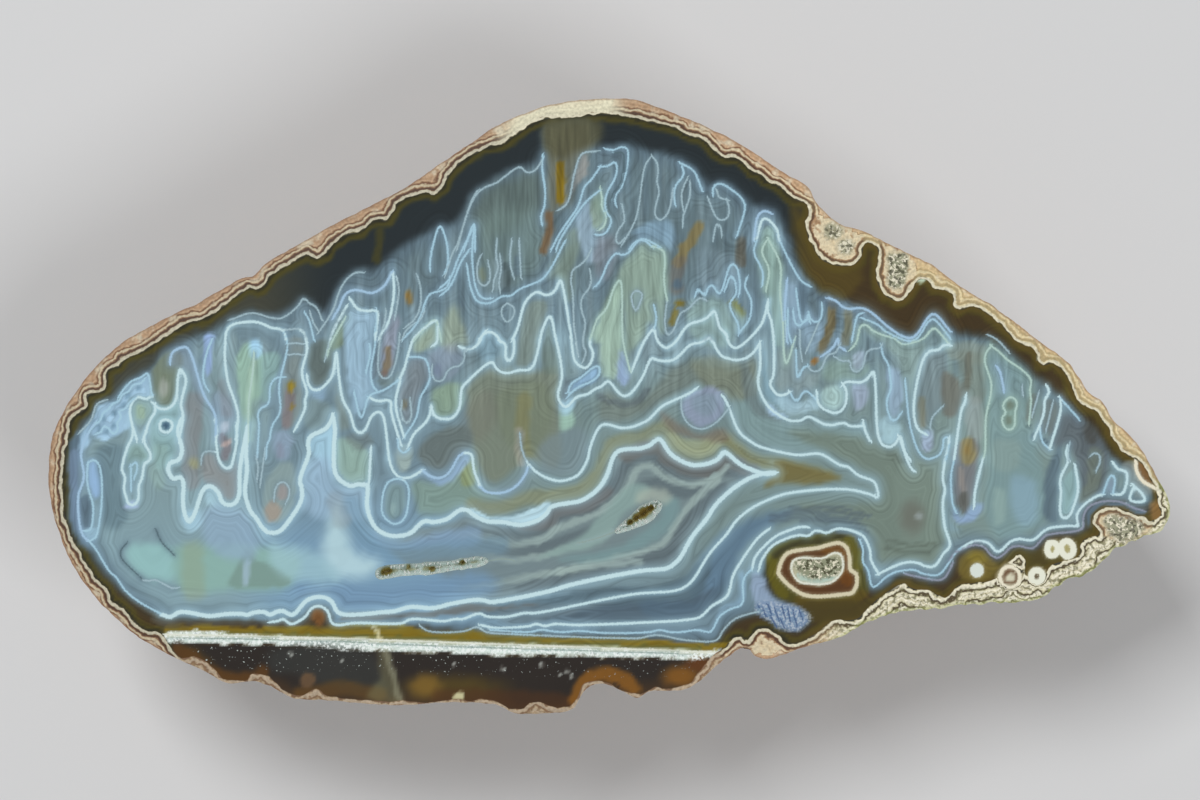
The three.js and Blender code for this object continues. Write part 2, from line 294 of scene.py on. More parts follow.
LEFT_END_LINES = """
peri 96,422 90,430 82,448 81,456 84,475 82,485 79,492 78,500 79,520 81,530 84,537 89,541
sky 88,463 87,475 88,487 93,505 93,515 92,525 90,530 83,531
sky 88,463 94,460 99,465 102,492 98,530 95,538 89,541
sky 89,541 95,548 110,572 116,577 125,590 138,601 161,614
white 131,420 133,430 132,438 128,446 122,470 125,477 124,488 126,497 129,504 134,505 138,500 139,485
  142,478 145,463 150,460 150,453 146,446 144,438 147,430
sky 131,466 131,490
sky 131,466 136,462 137,470 134,478
bold 181,420 178,430 182,450 180,458 177,461 171,462 168,468 170,475 174,479 180,477 183,481 183,502 185,515
  189,522 192,519 196,510 203,490 208,486 214,488 219,494 221,500 225,504 231,505 236,502 239,495 240,468
  248,425
bold 248,425 246,455 247,468 245,492 247,502 251,512 257,519 261,526 267,532
white 215,420 217,430 216,440 217,450 219,460 224,467 230,468 233,460 237,438 236,425
thin 201,463 203,453 209,451 216,452
thin 256,458 258,466 257,480
thin 265,450 260,486
dark 156,530 161,541 174,555
thin 144,580 148,581 155,580 172,588 178,588
dark 127,543 121,550 121,557 142,579
white 166,419.5 171,421.5 172.5,426 170,431 166,432.5 161.5,431 159.5,426 161,421 166,419.5
sky 90,431 95,424 100,421 103,413 109,409 112,404 119,401 122,395 129,391 133,385 141,383 145,379
sky 96,434 101,432 104,426 109,429 113,434 118,430 117,423 121,418 119,411 125,409 129,403 135,398
"""
CHAMBER_LINES = """
bold 267,532 274,533 280,531 285,526 301,501 302,490 300,480 309,453 308,445 310,437 325,429 330,423 333,416
bold 333,416 335,430 334,445 335,472 340,480 346,484 352,486 358,484 363,485 367,484 367,505 369,515 373,524
  378,530 385,534 392,536 405,535 412,532 421,523 426,521 433,522 447,519 460,510 467,510 474,515 486,521
  502,522 520,525 530,523 540,519 547,513 551,507 580,501 588,497 596,491 602,484 607,475 617,452 642,448
  650,445 659,439 669,452 676,458 692,465 700,465 710,463 718,459 724,452 728,454 740,464 750,469 766,474
  775,473
bold 775,473 766,473 758,475 748,479 730,491 714,507 708,517 692,537 680,558 674,564 668,568 640,571 570,585
  550,591 500,601 490,602 482,600 474,600 450,604 434,608 410,607 395,611 385,612 339,613 332,602 326,598
  319,597 312,598 306,601 292,615 283,611 276,612 270,615 264,612 252,613 248,615 243,614 226,614 210,616
  180,612 170,617 161,614
white 371,448 369,482
white 389,458 391,466 394,472 399,477 405,478 411,477 423,470
peri 423,471 430,476 438,478 445,476 451,470 460,455 465,453
sky 388,482 384,490 382,502 382,512 386,519 394,524 401,522 406,515 408,505 409,492 407,484 403,480 395,479
  388,482
sky 398,440 399,449 404,453 409,449
thin 274,500 275,490 278,484 284,482 289,488 289,496 286,503
white 769,529 758,538 737,568 733,576 727,596 712,606 700,617 685,620 655,622 575,625 555,624 545,626
  536,624 530,626 505,628 495,628 480,625
sky 752,569 746,575 743,582 743,602 740,606 733,608 720,616 713,629 710,632 697,630 682,632 670,632 660,630
  650,632 605,633 580,631 560,632 540,630 530,632 490,630
thin 760,611 735,619 722,632 719,638 714,641 685,640 656,635 640,638 615,638 510,634 486,632 477,627 465,631
  434,632 426,630 420,626
white 752,569 754,560 758,553 771,540 778,535 793,529 800,527 808,527
white 759,570 761,562 771,547 785,539 800,535 806,536 810,535 814,531 820,531 826,533 836,529 845,529
  860,534 864,537 870,550 871,560 878,573
"""
RIGHT_END_LINES = """
white 899,436 908,462 911,468 914,471
white 949,438 948,448 945,460 943,480 945,490 943,500 943,510 945,528 950,543 949,548 944,553 936,565
  932,567 925,566 918,563 910,562 900,564 878,574
sky 954,460 951,475 951,485 953,505 956,512
white 983,458 975,492 974,507
white 1075,465 1078,490 1073,508 1070,515 1066,518 1062,517 1060,510 1061,492 1060,482 1062,474 1068,461
  1066,453 1068,446
white 963,547 972,542 980,541 988,543 998,552 1010,542 1018,539 1033,540 1044,531 1050,528 1074,526 1078,527
  1077,515 1081,508 1095,497 1103,494
sky 1103,494 1108,480 1112,475 1115,479 1113,493
white 1113,463 1118,469 1126,472 1127,480 1122,494 1113,494
lilac 950,560 955,553 970,546 978,545 985,548 990,554 997,558 1004,554 1010,548 1018,546 1033,548 1045,536
  1052,534 1076,531 1083,528 1083,520 1085,512 1090,506 1100,502 1112,501 1124,503 1134,508 1144,511
sky 860,540 863,550 863,562 868,570 873,587 886,577 893,573 900,571 915,570 921,573 930,575 938,575 943,571
  958,550 963,547
lilac 905,574 936,580 943,579 948,573 953,563
white 1133,485 1143,495 1145,501 1130,500 1134,486
thin 1090,456 1094,453 1099,455 1100,462 1096,471
cream 1136,461 1136,468 1139,476 1144,482 1157,489
disc 974.5,569 977,567 979.5,569 979.5,572 977,573.5 974.5,572 974.5,569
blob 1047,550 1049,543 1055,543 1058,549 1055,555 1049,555 1047,550
blob 1061,551 1062,543 1068,541 1073,546 1073,553 1067,557 1061,551
cream 999.5,577 1003,569 1010,566.5 1017,569.5 1020,577 1017,585 1010,588 1003,585 999.5,577
blob 1031,576 1033,571.5 1037,570 1041,572 1042.5,577 1040,582 1036,583 1032,581 1031,576
"""
INCLUSION_LINES = """
ring 778,573 782,560 788,553 800,550 817,548 839,543 846,547 849.5,558 850.5,570 856,573.5 857,580 856,587
  852,593 846,594 817,596.5 803.6,594.6 791,587 782.5,579 778,573
bone 791,568 793,561 800,558 818,558.5 824,558 834,553 840,554 843,562 842,572 838,577 832,582 824,584
  812,584 800,582 794,576 791,568
cream 885,251 881,275 884,285 890,292 899,293 905,288 909,278 912,262
bone 165,634.5 340,638.8 716,652.5
haze 170,637.5 340,641.5 400,644.5 690,654
dash 763,609 766,616
dash 768,605 771,613
dash 775,609 779,620
dash 782,607 785,617
dash 788,610 790,621
dash 781,620 784,627
dash 793,612 797,625
dash 771,617 776,626
dash 759,606 760,610
dash 800,612 802,618
haze 578,543 595,539 617,531
haze 489,561 500,559 514,560
"""

# The inner edge of the rind, and the edge of the pale agate, whose gap from the rind is dark
SEAM = """68,440 71,422 75,416 82,412 87,407 88,395 101,392 105,388 107,383 107,377 109,371 119,366
122,361 147,349 182,326 190,322 205,319 243,292 250,289 256,290 262,288 267,283 270,277 303,257 308,255
313,258 318,259 324,256 333,245 347,235 361,231 374,221 380,220 386,221 398,204 405,199 420,194 428,193
434,195 439,192 443,187 446,180 456,167 463,161 478,152 486,148 502,144 531,125 547,119 574,118 592,115
620,116 640,119 648,122 664,125 680,131 686,135 698,138 704,141 716,153 723,157 737,159 753,172 758,174
770,183 776,185 782,189 793,199 806,204 809,209 808,215 805,221 805,228 815,251 820,258 830,264 845,266
855,264 861,258 863,249 867,243 873,245 878,251 876,275 878,286 884,294 891,299 899,301 906,298 916,283
922,279 928,282 934,288 948,291 953,296 953,304 957,309 962,310 968,307 975,307 1000,324 1020,344
1030,347 1036,353 1038,360 1043,366 1050,363 1055,364 1067,378 1075,397 1082,405 1098,413 1102,421
1108,428 1110,435 1128,456 1136,459 1145,466 1150,478 1156,488 1158,505 1161,514 1150,521 1144,517
1136,515 1120,508 1110,506 1100,509 1094,515 1093,523 1099,531 1100,535 1090,537 1083,540 1080,548
1079,556 1074,559 1066,560 1050,567 1045,574 1040,570 1033,570 1028,576 1025,574 1026,562 1023,555
1017,554 1012,560 999,570 996,578 988,582 965,584 956,587 951,594 946,598 940,597 927,590 910,588
905,583 887,592 862,614 858,619 835,620 828,623 822,629 808,638 792,644 785,641 775,632 768,629 762,628
755,631 747,640 742,637 735,637 730,641 725,648 716,653 708,661 703,668 697,673 693,681 685,685 675,688
665,689 655,687 648,691 638,694 620,690 606,682 592,681 584,684 575,701 569,706 555,707 540,702 530,703
525,708 512,709 505,707 497,702 480,699 472,701 458,699 435,702 412,702 405,701 390,702 335,697 325,695
321,691 316,689 311,691 306,695 300,696 290,693 282,689 270,677 265,675 257,673 250,675 247,680 232,680
223,678 207,663 197,657 180,657 160,633 148,631 141,627 120,605 112,602 107,588 100,583 88,565 73,538
65,515 63,480 65,452"""
PALE_AGATE = """73,530 70,500 70,470 74,445 80,432 90,418 100,404 118,392 135,378 150,368 160,355
172,345 190,338 215,328 230,318 250,312 268,315 285,312 300,300 306,300 318,312 326,312 334,298 343,282
355,272 375,270 390,258 405,246 430,232 450,225 462,215 475,192 490,182 510,172 530,166 541,157 545,132
565,124 588,124 598,148 630,146 650,152 668,155 690,167 700,178 712,186 725,184 745,200 760,209 775,214
785,235 800,265 815,285 840,298 860,309 880,322 905,335 920,334 933,315 950,331 975,335 1000,345
1020,362 1040,380 1060,398 1085,420 1100,440 1112,455 1125,465 1140,470 1150,485 1150,505 1120,500
1100,500 1085,512 1083,528 1050,533 1033,547 1010,546 997,558 985,547 970,545 955,552 945,577 930,580
905,574 873,590 862,570 862,548 845,533 800,538 770,550 765,585 782,600 812,616 800,628 780,628 760,613
728,624 716,640 690,642 640,638 560,635 490,632 420,626 380,624 335,624 330,612 319,606 308,612 300,620
285,620 270,622 210,619 170,619 150,610 120,588 100,563 88,545"""

# The fills of the face, drawn in this order under the lines. Each row is one of these, with its points:
#   patch COLOUR SOFT STRENGTH: an outline that is filled, with an edge that fades over SOFT pixels
#   stroke COLOUR HALF_WIDTH SOFT STRENGTH: a brush stroke along a line
#   spot COLOUR RADIUS_X RADIUS_Y SOFT STRENGTH: an oval at each point
#   frost, flecks or speckle SOFT STRENGTH: an outline that is granular

# The upper part: grey-green and mauve between the lines, with gold and brown streaks
CREST_ROWS = """
patch 5b6a62 18 0.6 470,215 486,188 510,178 538,172 543,205 520,222 480,240
patch 6f8582 22 0.7 478,225 500,210 536,212 542,250 530,275 500,290 480,280
patch 6b7064 12 1 546,128 562,122 588,122 590,150 576,170 568,205 550,210 547,155
patch 55543c 12 0.8 545,122 562,120 600,121 600,140 575,152 560,160 545,150
patch 8a8e8c 3 1 584,152 579,162 575,172 573,182 571,192 569,200 562,208 574,190 590,165
stroke gold 2.6 3 1 560,166 561,180 560,192 560,201
stroke 755634 2.2 4 0.8 549,214 550,225 547,240 543,250
patch a6c2d6 6 0.75 577,205 590,203 600,215 604,232 600,262 588,262 578,240
patch 8ba083 4 0.6 591,197 600,192 603,210 602,226 595,228
patch mauve 8 0.45 600,232 618,240 615,262 606,280 596,275 594,250
patch sage 6 0.8 575,228 578,250 572,268 560,282 556,250
patch sage 8 0.9 545,278 562,250 572,245 571,300 565,300 560,278
patch 8fa79a 8 0.95 600,320 612,290 628,254 644,242 664,252 666,300 662,335 650,322 640,345 628,352 622,300
patch a3bfae 5 0.9 600,345 592,338 604,312 613,290 619,284 622,310 622,345 615,380 600,372
spot teal 4 8 0.5 0.8 637,300
stroke olive_brown 2 4 0.6 380,232 379,245 377,260
spot 8c6f34 4 7 0.5 0.85 409,298
spot olive_grey 4 8 0.5 0.9 482,275
stroke navy 3 5 0.45 506,268 506,290
stroke slate 2.5 3 0.6 517,258 517,272
stroke haze 3 4 0.5 498,262 499,285
patch blue 7 0.8 632,232 650,222 672,222 672,250 650,240
stroke 8a7a4a 3.5 4 0.8 699,226 692,240 684,250 678,262
stroke 6f6a62 4 6 0.6 680,262 675,280 676,288
spot slate 5 5 0.5 1 677,284
spot gold 5 3.5 0.6 0.8 679,304
stroke gold 2.5 3 0.7 675,313 672,322
stroke 7f8240 2.5 3 0.8 733,303 737,308 742,314
stroke 5f5c50 3.5 3 0.8 741,242 741,262
patch mint 5 0.75 756,250 762,228 772,226 780,248 784,300 784,345 774,345 770,310 762,290
patch 8ca8a4 8 0.85 690,300 714,297 730,306 748,320 728,345 704,345 688,328
patch 92aab8 8 0.3 700,250 724,252 738,280 716,290 700,285
patch 94afc4 5 0.7 787,285 797,285 801,325 798,345 788,345
patch 93b0c6 8 0.7 808,312 822,322 818,345 806,352 800,335
stroke slate 3 4 0.8 803,287 803,310
stroke 6f6444 3 3 0.9 833,303 831,325 825,342 822,349
stroke 6b6a52 3 3 0.9 848,312 848,330 845,342
stroke 4b5a66 3 4 0.7 828,300 834,303
"""

# The left end: bright blue blobs, mint, orbs and the periwinkle edge
LEFT_END_ROWS = """
patch slate 5 1 70,440 82,430 92,420 84,440 80,460 80,500 82,532 92,548 84,548 72,530 69,500 69,470
patch periwinkle 4 0.35 71,450 78,450 78,500 82,535 76,532 71,500
patch b0d6f0 4 1 80,440 84,428 92,420 97,408 108,402 118,398 126,388 134,381 143,377 149,374 150,385 152,395
  140,398 132,402 130,412 131,425 120,434 108,440 98,438 90,432 88,445 82,452
spot 7398b0 2.6 3.2 0.5 0.8 115,413 107,431 104,419 123,405 98,428 113,425 129,396 138,388
patch 9cc2ec 4 0.9 88,462 95,460 100,470 101,495 97,500 92,495 88,485
patch slate 2 0.9 82,497 88,495 92,505 92,526 84,528 81,515
patch sky 3 0.8 82,531 96,528 98,537 89,541
patch 66808b 10 0.8 98,448 122,445 122,480 126,520 112,530 102,520 102,490
patch mint 4 0.7 131,398 146,398 154,404 150,418 140,426 133,420
patch aqua 6 0.5 152,412 160,402 178,402 176,440 172,460 158,470 150,440
patch mint 6 0.4 148,450 165,445 168,470 160,490 150,478
patch a5bf9e 3 0.5 138,405 146,410 143,420 137,418
patch olive_grey 5 0.9 152,372 168,352 180,352 182,366 176,380 175,395 170,405 158,404 152,395
spot a5ada6 4 9 0.6 0.8 163,388
patch 7e8fa0 6 0.5 170,365 172,352 186,349 198,372 203,394 196,392 188,372
spot 2f4c62 4.5 4.5 0.3 1 166,426
stroke 83898c 6 6 0.8 194,400 192,430 190,450 192,480
spot 9ea07c 5 5 0.6 0.8 195,463
patch 9ab6e6 4 0.9 205,335 214,335 212,350 208,375 204,368 203,350
patch 8fa5b8 6 0.7 212,395 222,392 230,402 236,412 232,430 220,436 216,420
stroke mauve 3 5 0.35 222,385 226,400 227,412
spot b6c4d2 5 5 0.5 1 224,427
stroke 75686e 3.5 3 0.7 222,437 226,447 224,456
stroke c2aaa2 1.2 2 0.8 223,445 228,442
patch 8d8c8c 5 0.7 203,455 215,455 222,468 232,468 236,460 238,490 230,500 222,496 208,484 203,478
patch 98bcac 5 0.95 243,440 241,420 238,385 238,355 246,343 258,343 263,358 260,400 252,440
stroke b9dcc6 1.5 3 0.8 254,356 252,372 250,390 248,420
patch a8d6f2 5 1 250,340 258,340 263,350 260,358 253,358 249,350
patch 8fb5ae 5 0.7 262,355 276,352 282,362 276,378 270,400 262,402
patch steel 6 0.8 235,330 262,325 283,334 284,350 262,340 240,340
patch teal 8 0.6 252,400 266,405 270,430 262,470 256,460
patch 93a9bf 8 0.8 274,432 290,432 291,452 282,462 274,452
stroke 7e7788 1.5 4 0.3 280,446 280,456
patch 7d8c8c 4 1 288,338 302,338 305,350 300,370 303,395 298,418 290,428 282,420 281,395 284,365
stroke 86787a 3.5 4 0.7 291,395 288,410 287,424
spot 9c8830 3 6 0.5 1 291,387
spot 94823c 2.5 4 0.5 0.8 291,407
patch 94aaa8 6 0.7 275,468 292,462 296,490 290,512 276,524 264,516 262,500
patch a09896 4 0.8 280,484 287,486 287,498 280,500 277,492
patch a59c90 5 0.9 265,505 274,500 280,508 278,520 268,522
patch aqua 12 0.95 128,548 152,543 172,548 176,575 168,582 146,578 130,566
patch 8fb8ae 14 0.85 176,548 210,545 250,545 300,560 290,585 230,590 180,588
stroke 93a58a 5 12 0.5 192,552 194,590
patch 7c9a92 5 0.85 247,548 257,560 272,566 292,580 285,586 250,587 229,586 236,568
stroke a9c4d8 1.2 4 0.7 247,563 246,582
patch a7cde0 8 0.8 185,512 200,512 202,524 190,531 182,524
patch b1d8e8 6 0.7 206,488 221,494 224,506 214,508 205,500
patch 95b3cc 14 0.7 205,510 240,508 258,540 250,560 210,548
spot a8b8dc 7 4 0.4 0.9 131,506
patch 8fb3a8 5 0.6 128,448 143,444 148,458 142,466 136,480 130,480 126,468
"""

# From the left tongues to the right: broad pale, olive and mauve fills
MIDDLE_ROWS = """
patch 9cbdd2 6 0.95 347,312 374,312 372,345 370,372 374,395 356,415 350,395 346,360 344,330
patch 5f6d6a 5 0.9 309,345 327,340 334,352 330,372 320,388 312,384
patch 7a8b6a 4 0.7 340,322 342,342 336,352 330,346 335,333
patch 8aaac4 6 0.8 310,390 326,388 322,402 314,400
patch 7d9496 6 0.7 300,405 322,400 332,412 318,430 305,425
patch 7e8c84 8 0.7 338,385 346,405 350,425 340,430 336,405
patch a9d3e8 6 0.9 309,448 312,438 326,431 333,420 336,440 336,462 330,472 318,460
patch 9cbcd4 14 0.8 306,460 334,462 338,484 366,488 368,515 340,520 305,510
patch mint 5 0.95 338,438 368,450 368,482 348,483 338,472
patch 6e7c7c 5 0.6 345,435 368,432 372,446 356,450
patch 5d6b74 3 0.9 378,312 384,312 380,345 378,372 372,380 373,360
patch 8d93a4 5 0.8 388,318 398,314 397,345 390,370 382,372 382,345
stroke 7f6d4c 2 3 0.7 389,350 387,366 384,372
spot 7a6660 4 4 0.6 0.8 384,374
patch 66746e 6 0.7 378,382 392,378 400,372 398,382 386,388
patch 77838a 5 0.9 408,360 426,360 430,376 420,394 415,415 406,428 400,412 398,395
spot 7a7050 2.5 5 0.5 0.8 405,405
patch 94a58e 6 0.8 414,340 434,323 438,342 425,350 412,352
patch 9aa992 10 0.7 440,330 455,305 462,322 468,345 450,352 440,345
patch 8d99ae 8 0.5 430,352 462,346 462,366 446,380 434,380 428,365
spot 75839a 5 6 0.5 0.8 437,370
patch 8da78e 8 0.8 433,390 462,385 460,408 444,417 434,412
patch 7ba0b4 6 0.5 479,342 488,332 500,342 500,356 482,360
patch 7a8576 10 0.9 470,382 492,370 530,372 558,368 558,400 560,432 556,468 530,460 515,470 490,482 476,460
patch olive_grey 10 0.6 500,392 545,385 552,420 530,455 505,440
stroke 857f4c 3 8 0.45 524,400 522,430 524,455
stroke 9d9d92 2.5 4 0.7 519,432 519,452 522,462
patch 7c7268 14 0.2 470,400 492,392 496,420 480,440 462,430
patch 667270 8 0.85 418,450 440,430 468,428 470,448 455,460 442,468 424,466
patch 798d96 10 0.6 545,440 585,430 585,465 560,476 540,470
patch 86a08c 10 0.6 412,482 440,482 468,462 478,480 500,497 470,503 440,514 420,512
patch 8c9a6c 6 0.8 465,458 471,458 476,482 466,486 460,472
patch 9fc4b4 5 0.9 565,408 572,408 572,428 562,430 561,410
patch sky 5 0.8 561,400 574,398 570,414 562,414
patch a3b8b4 5 0.9 398,446 412,446 410,466 402,472 396,462
patch 97bfe0 3 0.95 570,390 576,381 596,367 600,371 595,381 580,388
patch 9cb6de 5 0.8 620,350 628,362 629,378 624,386 618,378
patch 6e8078 5 0.7 543,340 549,322 556,345 560,372 545,372
patch 7c8c84 5 0.8 517,345 530,303 545,300 542,330 532,362 518,366
patch 72807a 10 0.85 606,392 640,400 680,365 740,368 752,350 758,392 740,395 700,384 660,402 620,422 600,420
patch 7e8672 10 0.6 690,362 752,362 756,395 720,398 700,380
patch 8f9db4 4 0.95 681,402 696,390 716,388 726,400 722,415 702,427 686,418
patch 7d94a0 8 0.6 692,398 714,395 716,412 700,416
patch 7f9a9c 10 0.9 735,405 760,400 790,425 862,430 868,450 820,452 770,446 742,428
patch 74857b 12 0.95 790,432 870,440 930,470 938,560 900,560 880,560 872,530 800,505 880,500 884,480 850,462
patch 68787a 6 0.7 745,345 755,385 764,405 784,422 758,415 742,388
patch 78a0b4 8 0.6 765,350 772,388 790,398 798,412 778,408 764,395
patch a9c9d6 6 0.8 774,398 792,398 800,402 812,398 818,408 805,412 790,416
patch b3d0f0 4 0.9 767,404 778,412 788,418 778,418 768,411
patch 8fa3a6 8 0.7 776,350 800,352 806,372 820,372 812,388 798,396 778,388
patch a5c4c2 5 0.95 820,394 840,384 846,392 842,406 832,410 822,406
patch 8aa69c 8 0.7 822,362 862,360 870,372 852,380 824,380
patch a0b0c8 6 0.8 853,384 866,384 866,402 856,410 852,396
patch a9bccf 4 0.8 853,354 865,352 862,368 855,370
spot 9a6f34 4 4 0.4 1 815,361
patch a9ccd6 5 0.9 880,418 896,418 900,434 892,444 882,442 880,430
patch 9fbad0 5 0.9 889,368 900,370 903,400 896,418 889,410 888,390
patch 8aa3a0 8 0.8 862,325 900,342 925,345 922,362 915,380 905,400 900,362 882,345
patch 7a8d92 5 0.9 917,380 926,352 944,352 944,400 930,418 924,432 917,415
patch a3b4d0 5 0.8 922,434 932,430 934,444 928,452 922,446
stroke 7d7f6c 2.5 4 0.8 922,400 922,424
patch 71746c 5 0.9 944,372 958,380 962,398 952,418 944,415 942,395
patch 8a9890 6 0.7 945,345 985,345 985,362 965,362 950,356
patch 7c887e 6 0.6 958,352 985,356 984,400 968,402 962,378
stroke 6a6c60 2 3 0.7 969,355 967,378 965,395
patch 7f9288 12 0.5 900,470 942,462 942,540 905,540
spot 6b6d64 12 16 0.6 0.7 912,517
spot 9aa6a6 3.5 3.5 0.6 0.8 919,517
"""

# Within the bold line: yellow where its outside is rusty, then the grey bands round the pockets
CHAMBER_ROWS = """
stroke 8d8f68 3 9 0.6 472,506 500,508 530,498 560,496 582,490 598,476 606,460 612,446 625,440 642,438
  656,430 664,428 674,444 690,454 706,452 724,440 738,450 752,460 770,464 800,470 826,476
stroke 727048 2 4 0.6 705,447 724,441 738,452 752,462 768,466
patch 746c40 8 0.9 775,462 800,464 830,472 842,478 815,484 780,484 764,488 772,474
patch 9aa588 5 0.85 666,432 690,440 720,438 722,446 700,456 680,452 668,442
patch 7a7266 8 0.7 660,412 682,425 702,434 722,428 730,440 700,440 670,430
patch 76888c 10 0.9 380,535 395,540 420,528 445,524 470,514 500,524 525,526 545,517 552,508 580,503 600,488
  614,455 655,444 680,464 700,467 725,456 765,474 735,486 710,512 690,542 668,568 640,571 600,579 550,591
  500,601 470,603 450,580 400,560
patch 7597b4 16 0.9 300,588 330,585 400,585 480,572 500,585 480,598 420,604 340,608 320,594 300,600
patch 84a4c2 10 0.8 370,530 400,542 440,532 480,528 480,542 430,548 385,548
"""
CHAMBER_DARK_BANDS = """
stroke 5f6e74 3 5 0.8 460,522 500,530 530,532 552,518 575,512 596,503 612,488 622,470 630,460 650,456
  665,466 690,474 718,470 742,474
stroke 5f6e74 3 5 0.8 455,545 500,549 530,551 560,541 592,530 612,515 630,497 642,486 656,483 680,492
  700,490
stroke 5f6e74 3 5 0.8 560,581 600,570 640,561 668,549 682,530 700,508 722,488
stroke 5f6e74 3 5 0.8 520,590 570,578 620,566 655,562 672,552
"""
CHAMBER_BROWN_BANDS = """
stroke 6d6a68 3 6 0.6 520,524 548,522 558,512 590,504 606,492
stroke 6a655f 4 6 0.65 625,455 655,448 670,460 700,470 730,462 752,472
"""
CHAMBER_PALE_BANDS = """
stroke 9cb1ae 1.8 3 0.8 440,532 470,535 490,538 510,544 530,543 545,537 557,528 575,522 595,515 612,503
  625,492 633,478 638,470 650,467 660,475 675,482 690,484 710,480 728,466
stroke 9cb1ae 1.8 3 0.8 445,549 480,554 510,560 540,556 570,547 592,541 612,532
stroke 9cb1ae 1.8 3 0.8 560,572 600,561 640,552 662,543 672,530 685,510 700,494 718,480
stroke 9cb1ae 1.8 3 0.8 450,590 500,583 550,573 600,566 640,562
"""
POCKET_ROWS = """
patch 8ca8a4 8 0.9 540,556 580,536 600,516 618,496 632,484 650,488 640,502 622,516 612,534 590,548
patch 7ba0a2 10 0.6 560,560 620,545 660,515 664,498 680,500 668,530 640,548 590,562
stroke b2bdae 2 9 0.6 642,498 653,494 664,497
patch c2e2e8 20 0.8 328,525 338,505 346,530 356,552 380,562 372,575 336,575 322,555
patch a4cbd4 16 0.7 270,545 320,555 340,580 300,580 276,570
stroke 7397ae 4 10 0.5 352,505 362,530 385,548 420,552 460,548 500,545
stroke 8c9aa0 5 8 0.4 335,500 342,520
spot a9c8cc 2.6 6.5 0.5 1 392,508
patch 84a0a0 6 0.7 388,486 402,486 406,502 400,518 388,518 383,505
patch c3e4ef 3 0.95 471,508 485,515 500,519 520,515 535,508 546,502 551,504 548,512 540,519 525,524 508,522
  488,520 474,516
patch 93b2d2 5 0.85 424,472 436,478 448,476 458,462 466,454 470,458 462,470 450,482 436,484
patch 9cb4cc 6 0.5 482,486 500,494 518,484 528,468 520,484 505,492 490,490
patch 5d7a92 14 0.85 700,560 728,530 760,515 790,512 770,528 745,550 725,585 700,598 690,600
patch 526874 7 0.85 470,606 540,598 600,588 660,586 690,572 712,548 704,590 690,602 640,606 560,612 500,616
patch 4c5e6c 7 0.8 480,613 560,607 640,603 690,599 716,588 720,602 700,618 640,621 560,621 500,621
patch 526a7c 8 0.75 640,602 700,600 720,580 735,560 728,590 700,612 650,618
patch 5c6c74 6 0.7 500,610 560,604 640,596 620,600 560,616 500,622
patch 61605c 4 0.9 340,616 420,612 470,604 500,606 540,604 480,612 420,617 340,620
patch 8fb4cc 5 0.8 739,572 743,572 742,602 726,608 715,618 722,606 738,598
stroke 556570 0.9 2 0.55 770,521 785,519 800,517 820,517 840,518 856,522 868,532
stroke 556570 0.9 2 0.55 772,516 800,513 840,513 862,518
stroke 556570 0.9 2 0.55 800,522 820,521 842,522 858,528
stroke 556570 0.9 2 0.55 790,509 840,508 870,516
stroke 5f6c62 0.9 2 0.55 882,446 895,454 905,462
stroke 5f6c62 0.9 2 0.55 886,452 900,462
stroke 5f6c62 0.9 2 0.55 884,548 905,552 930,552
stroke 5f6c62 0.9 2 0.55 886,541 910,545 935,545
stroke 566268 1.5 3 0.6 600,397 612,402 624,405 636,402 648,390
patch 5d6a70 4 0.7 565,378 572,384 568,398 566,403 561,396 562,385
"""

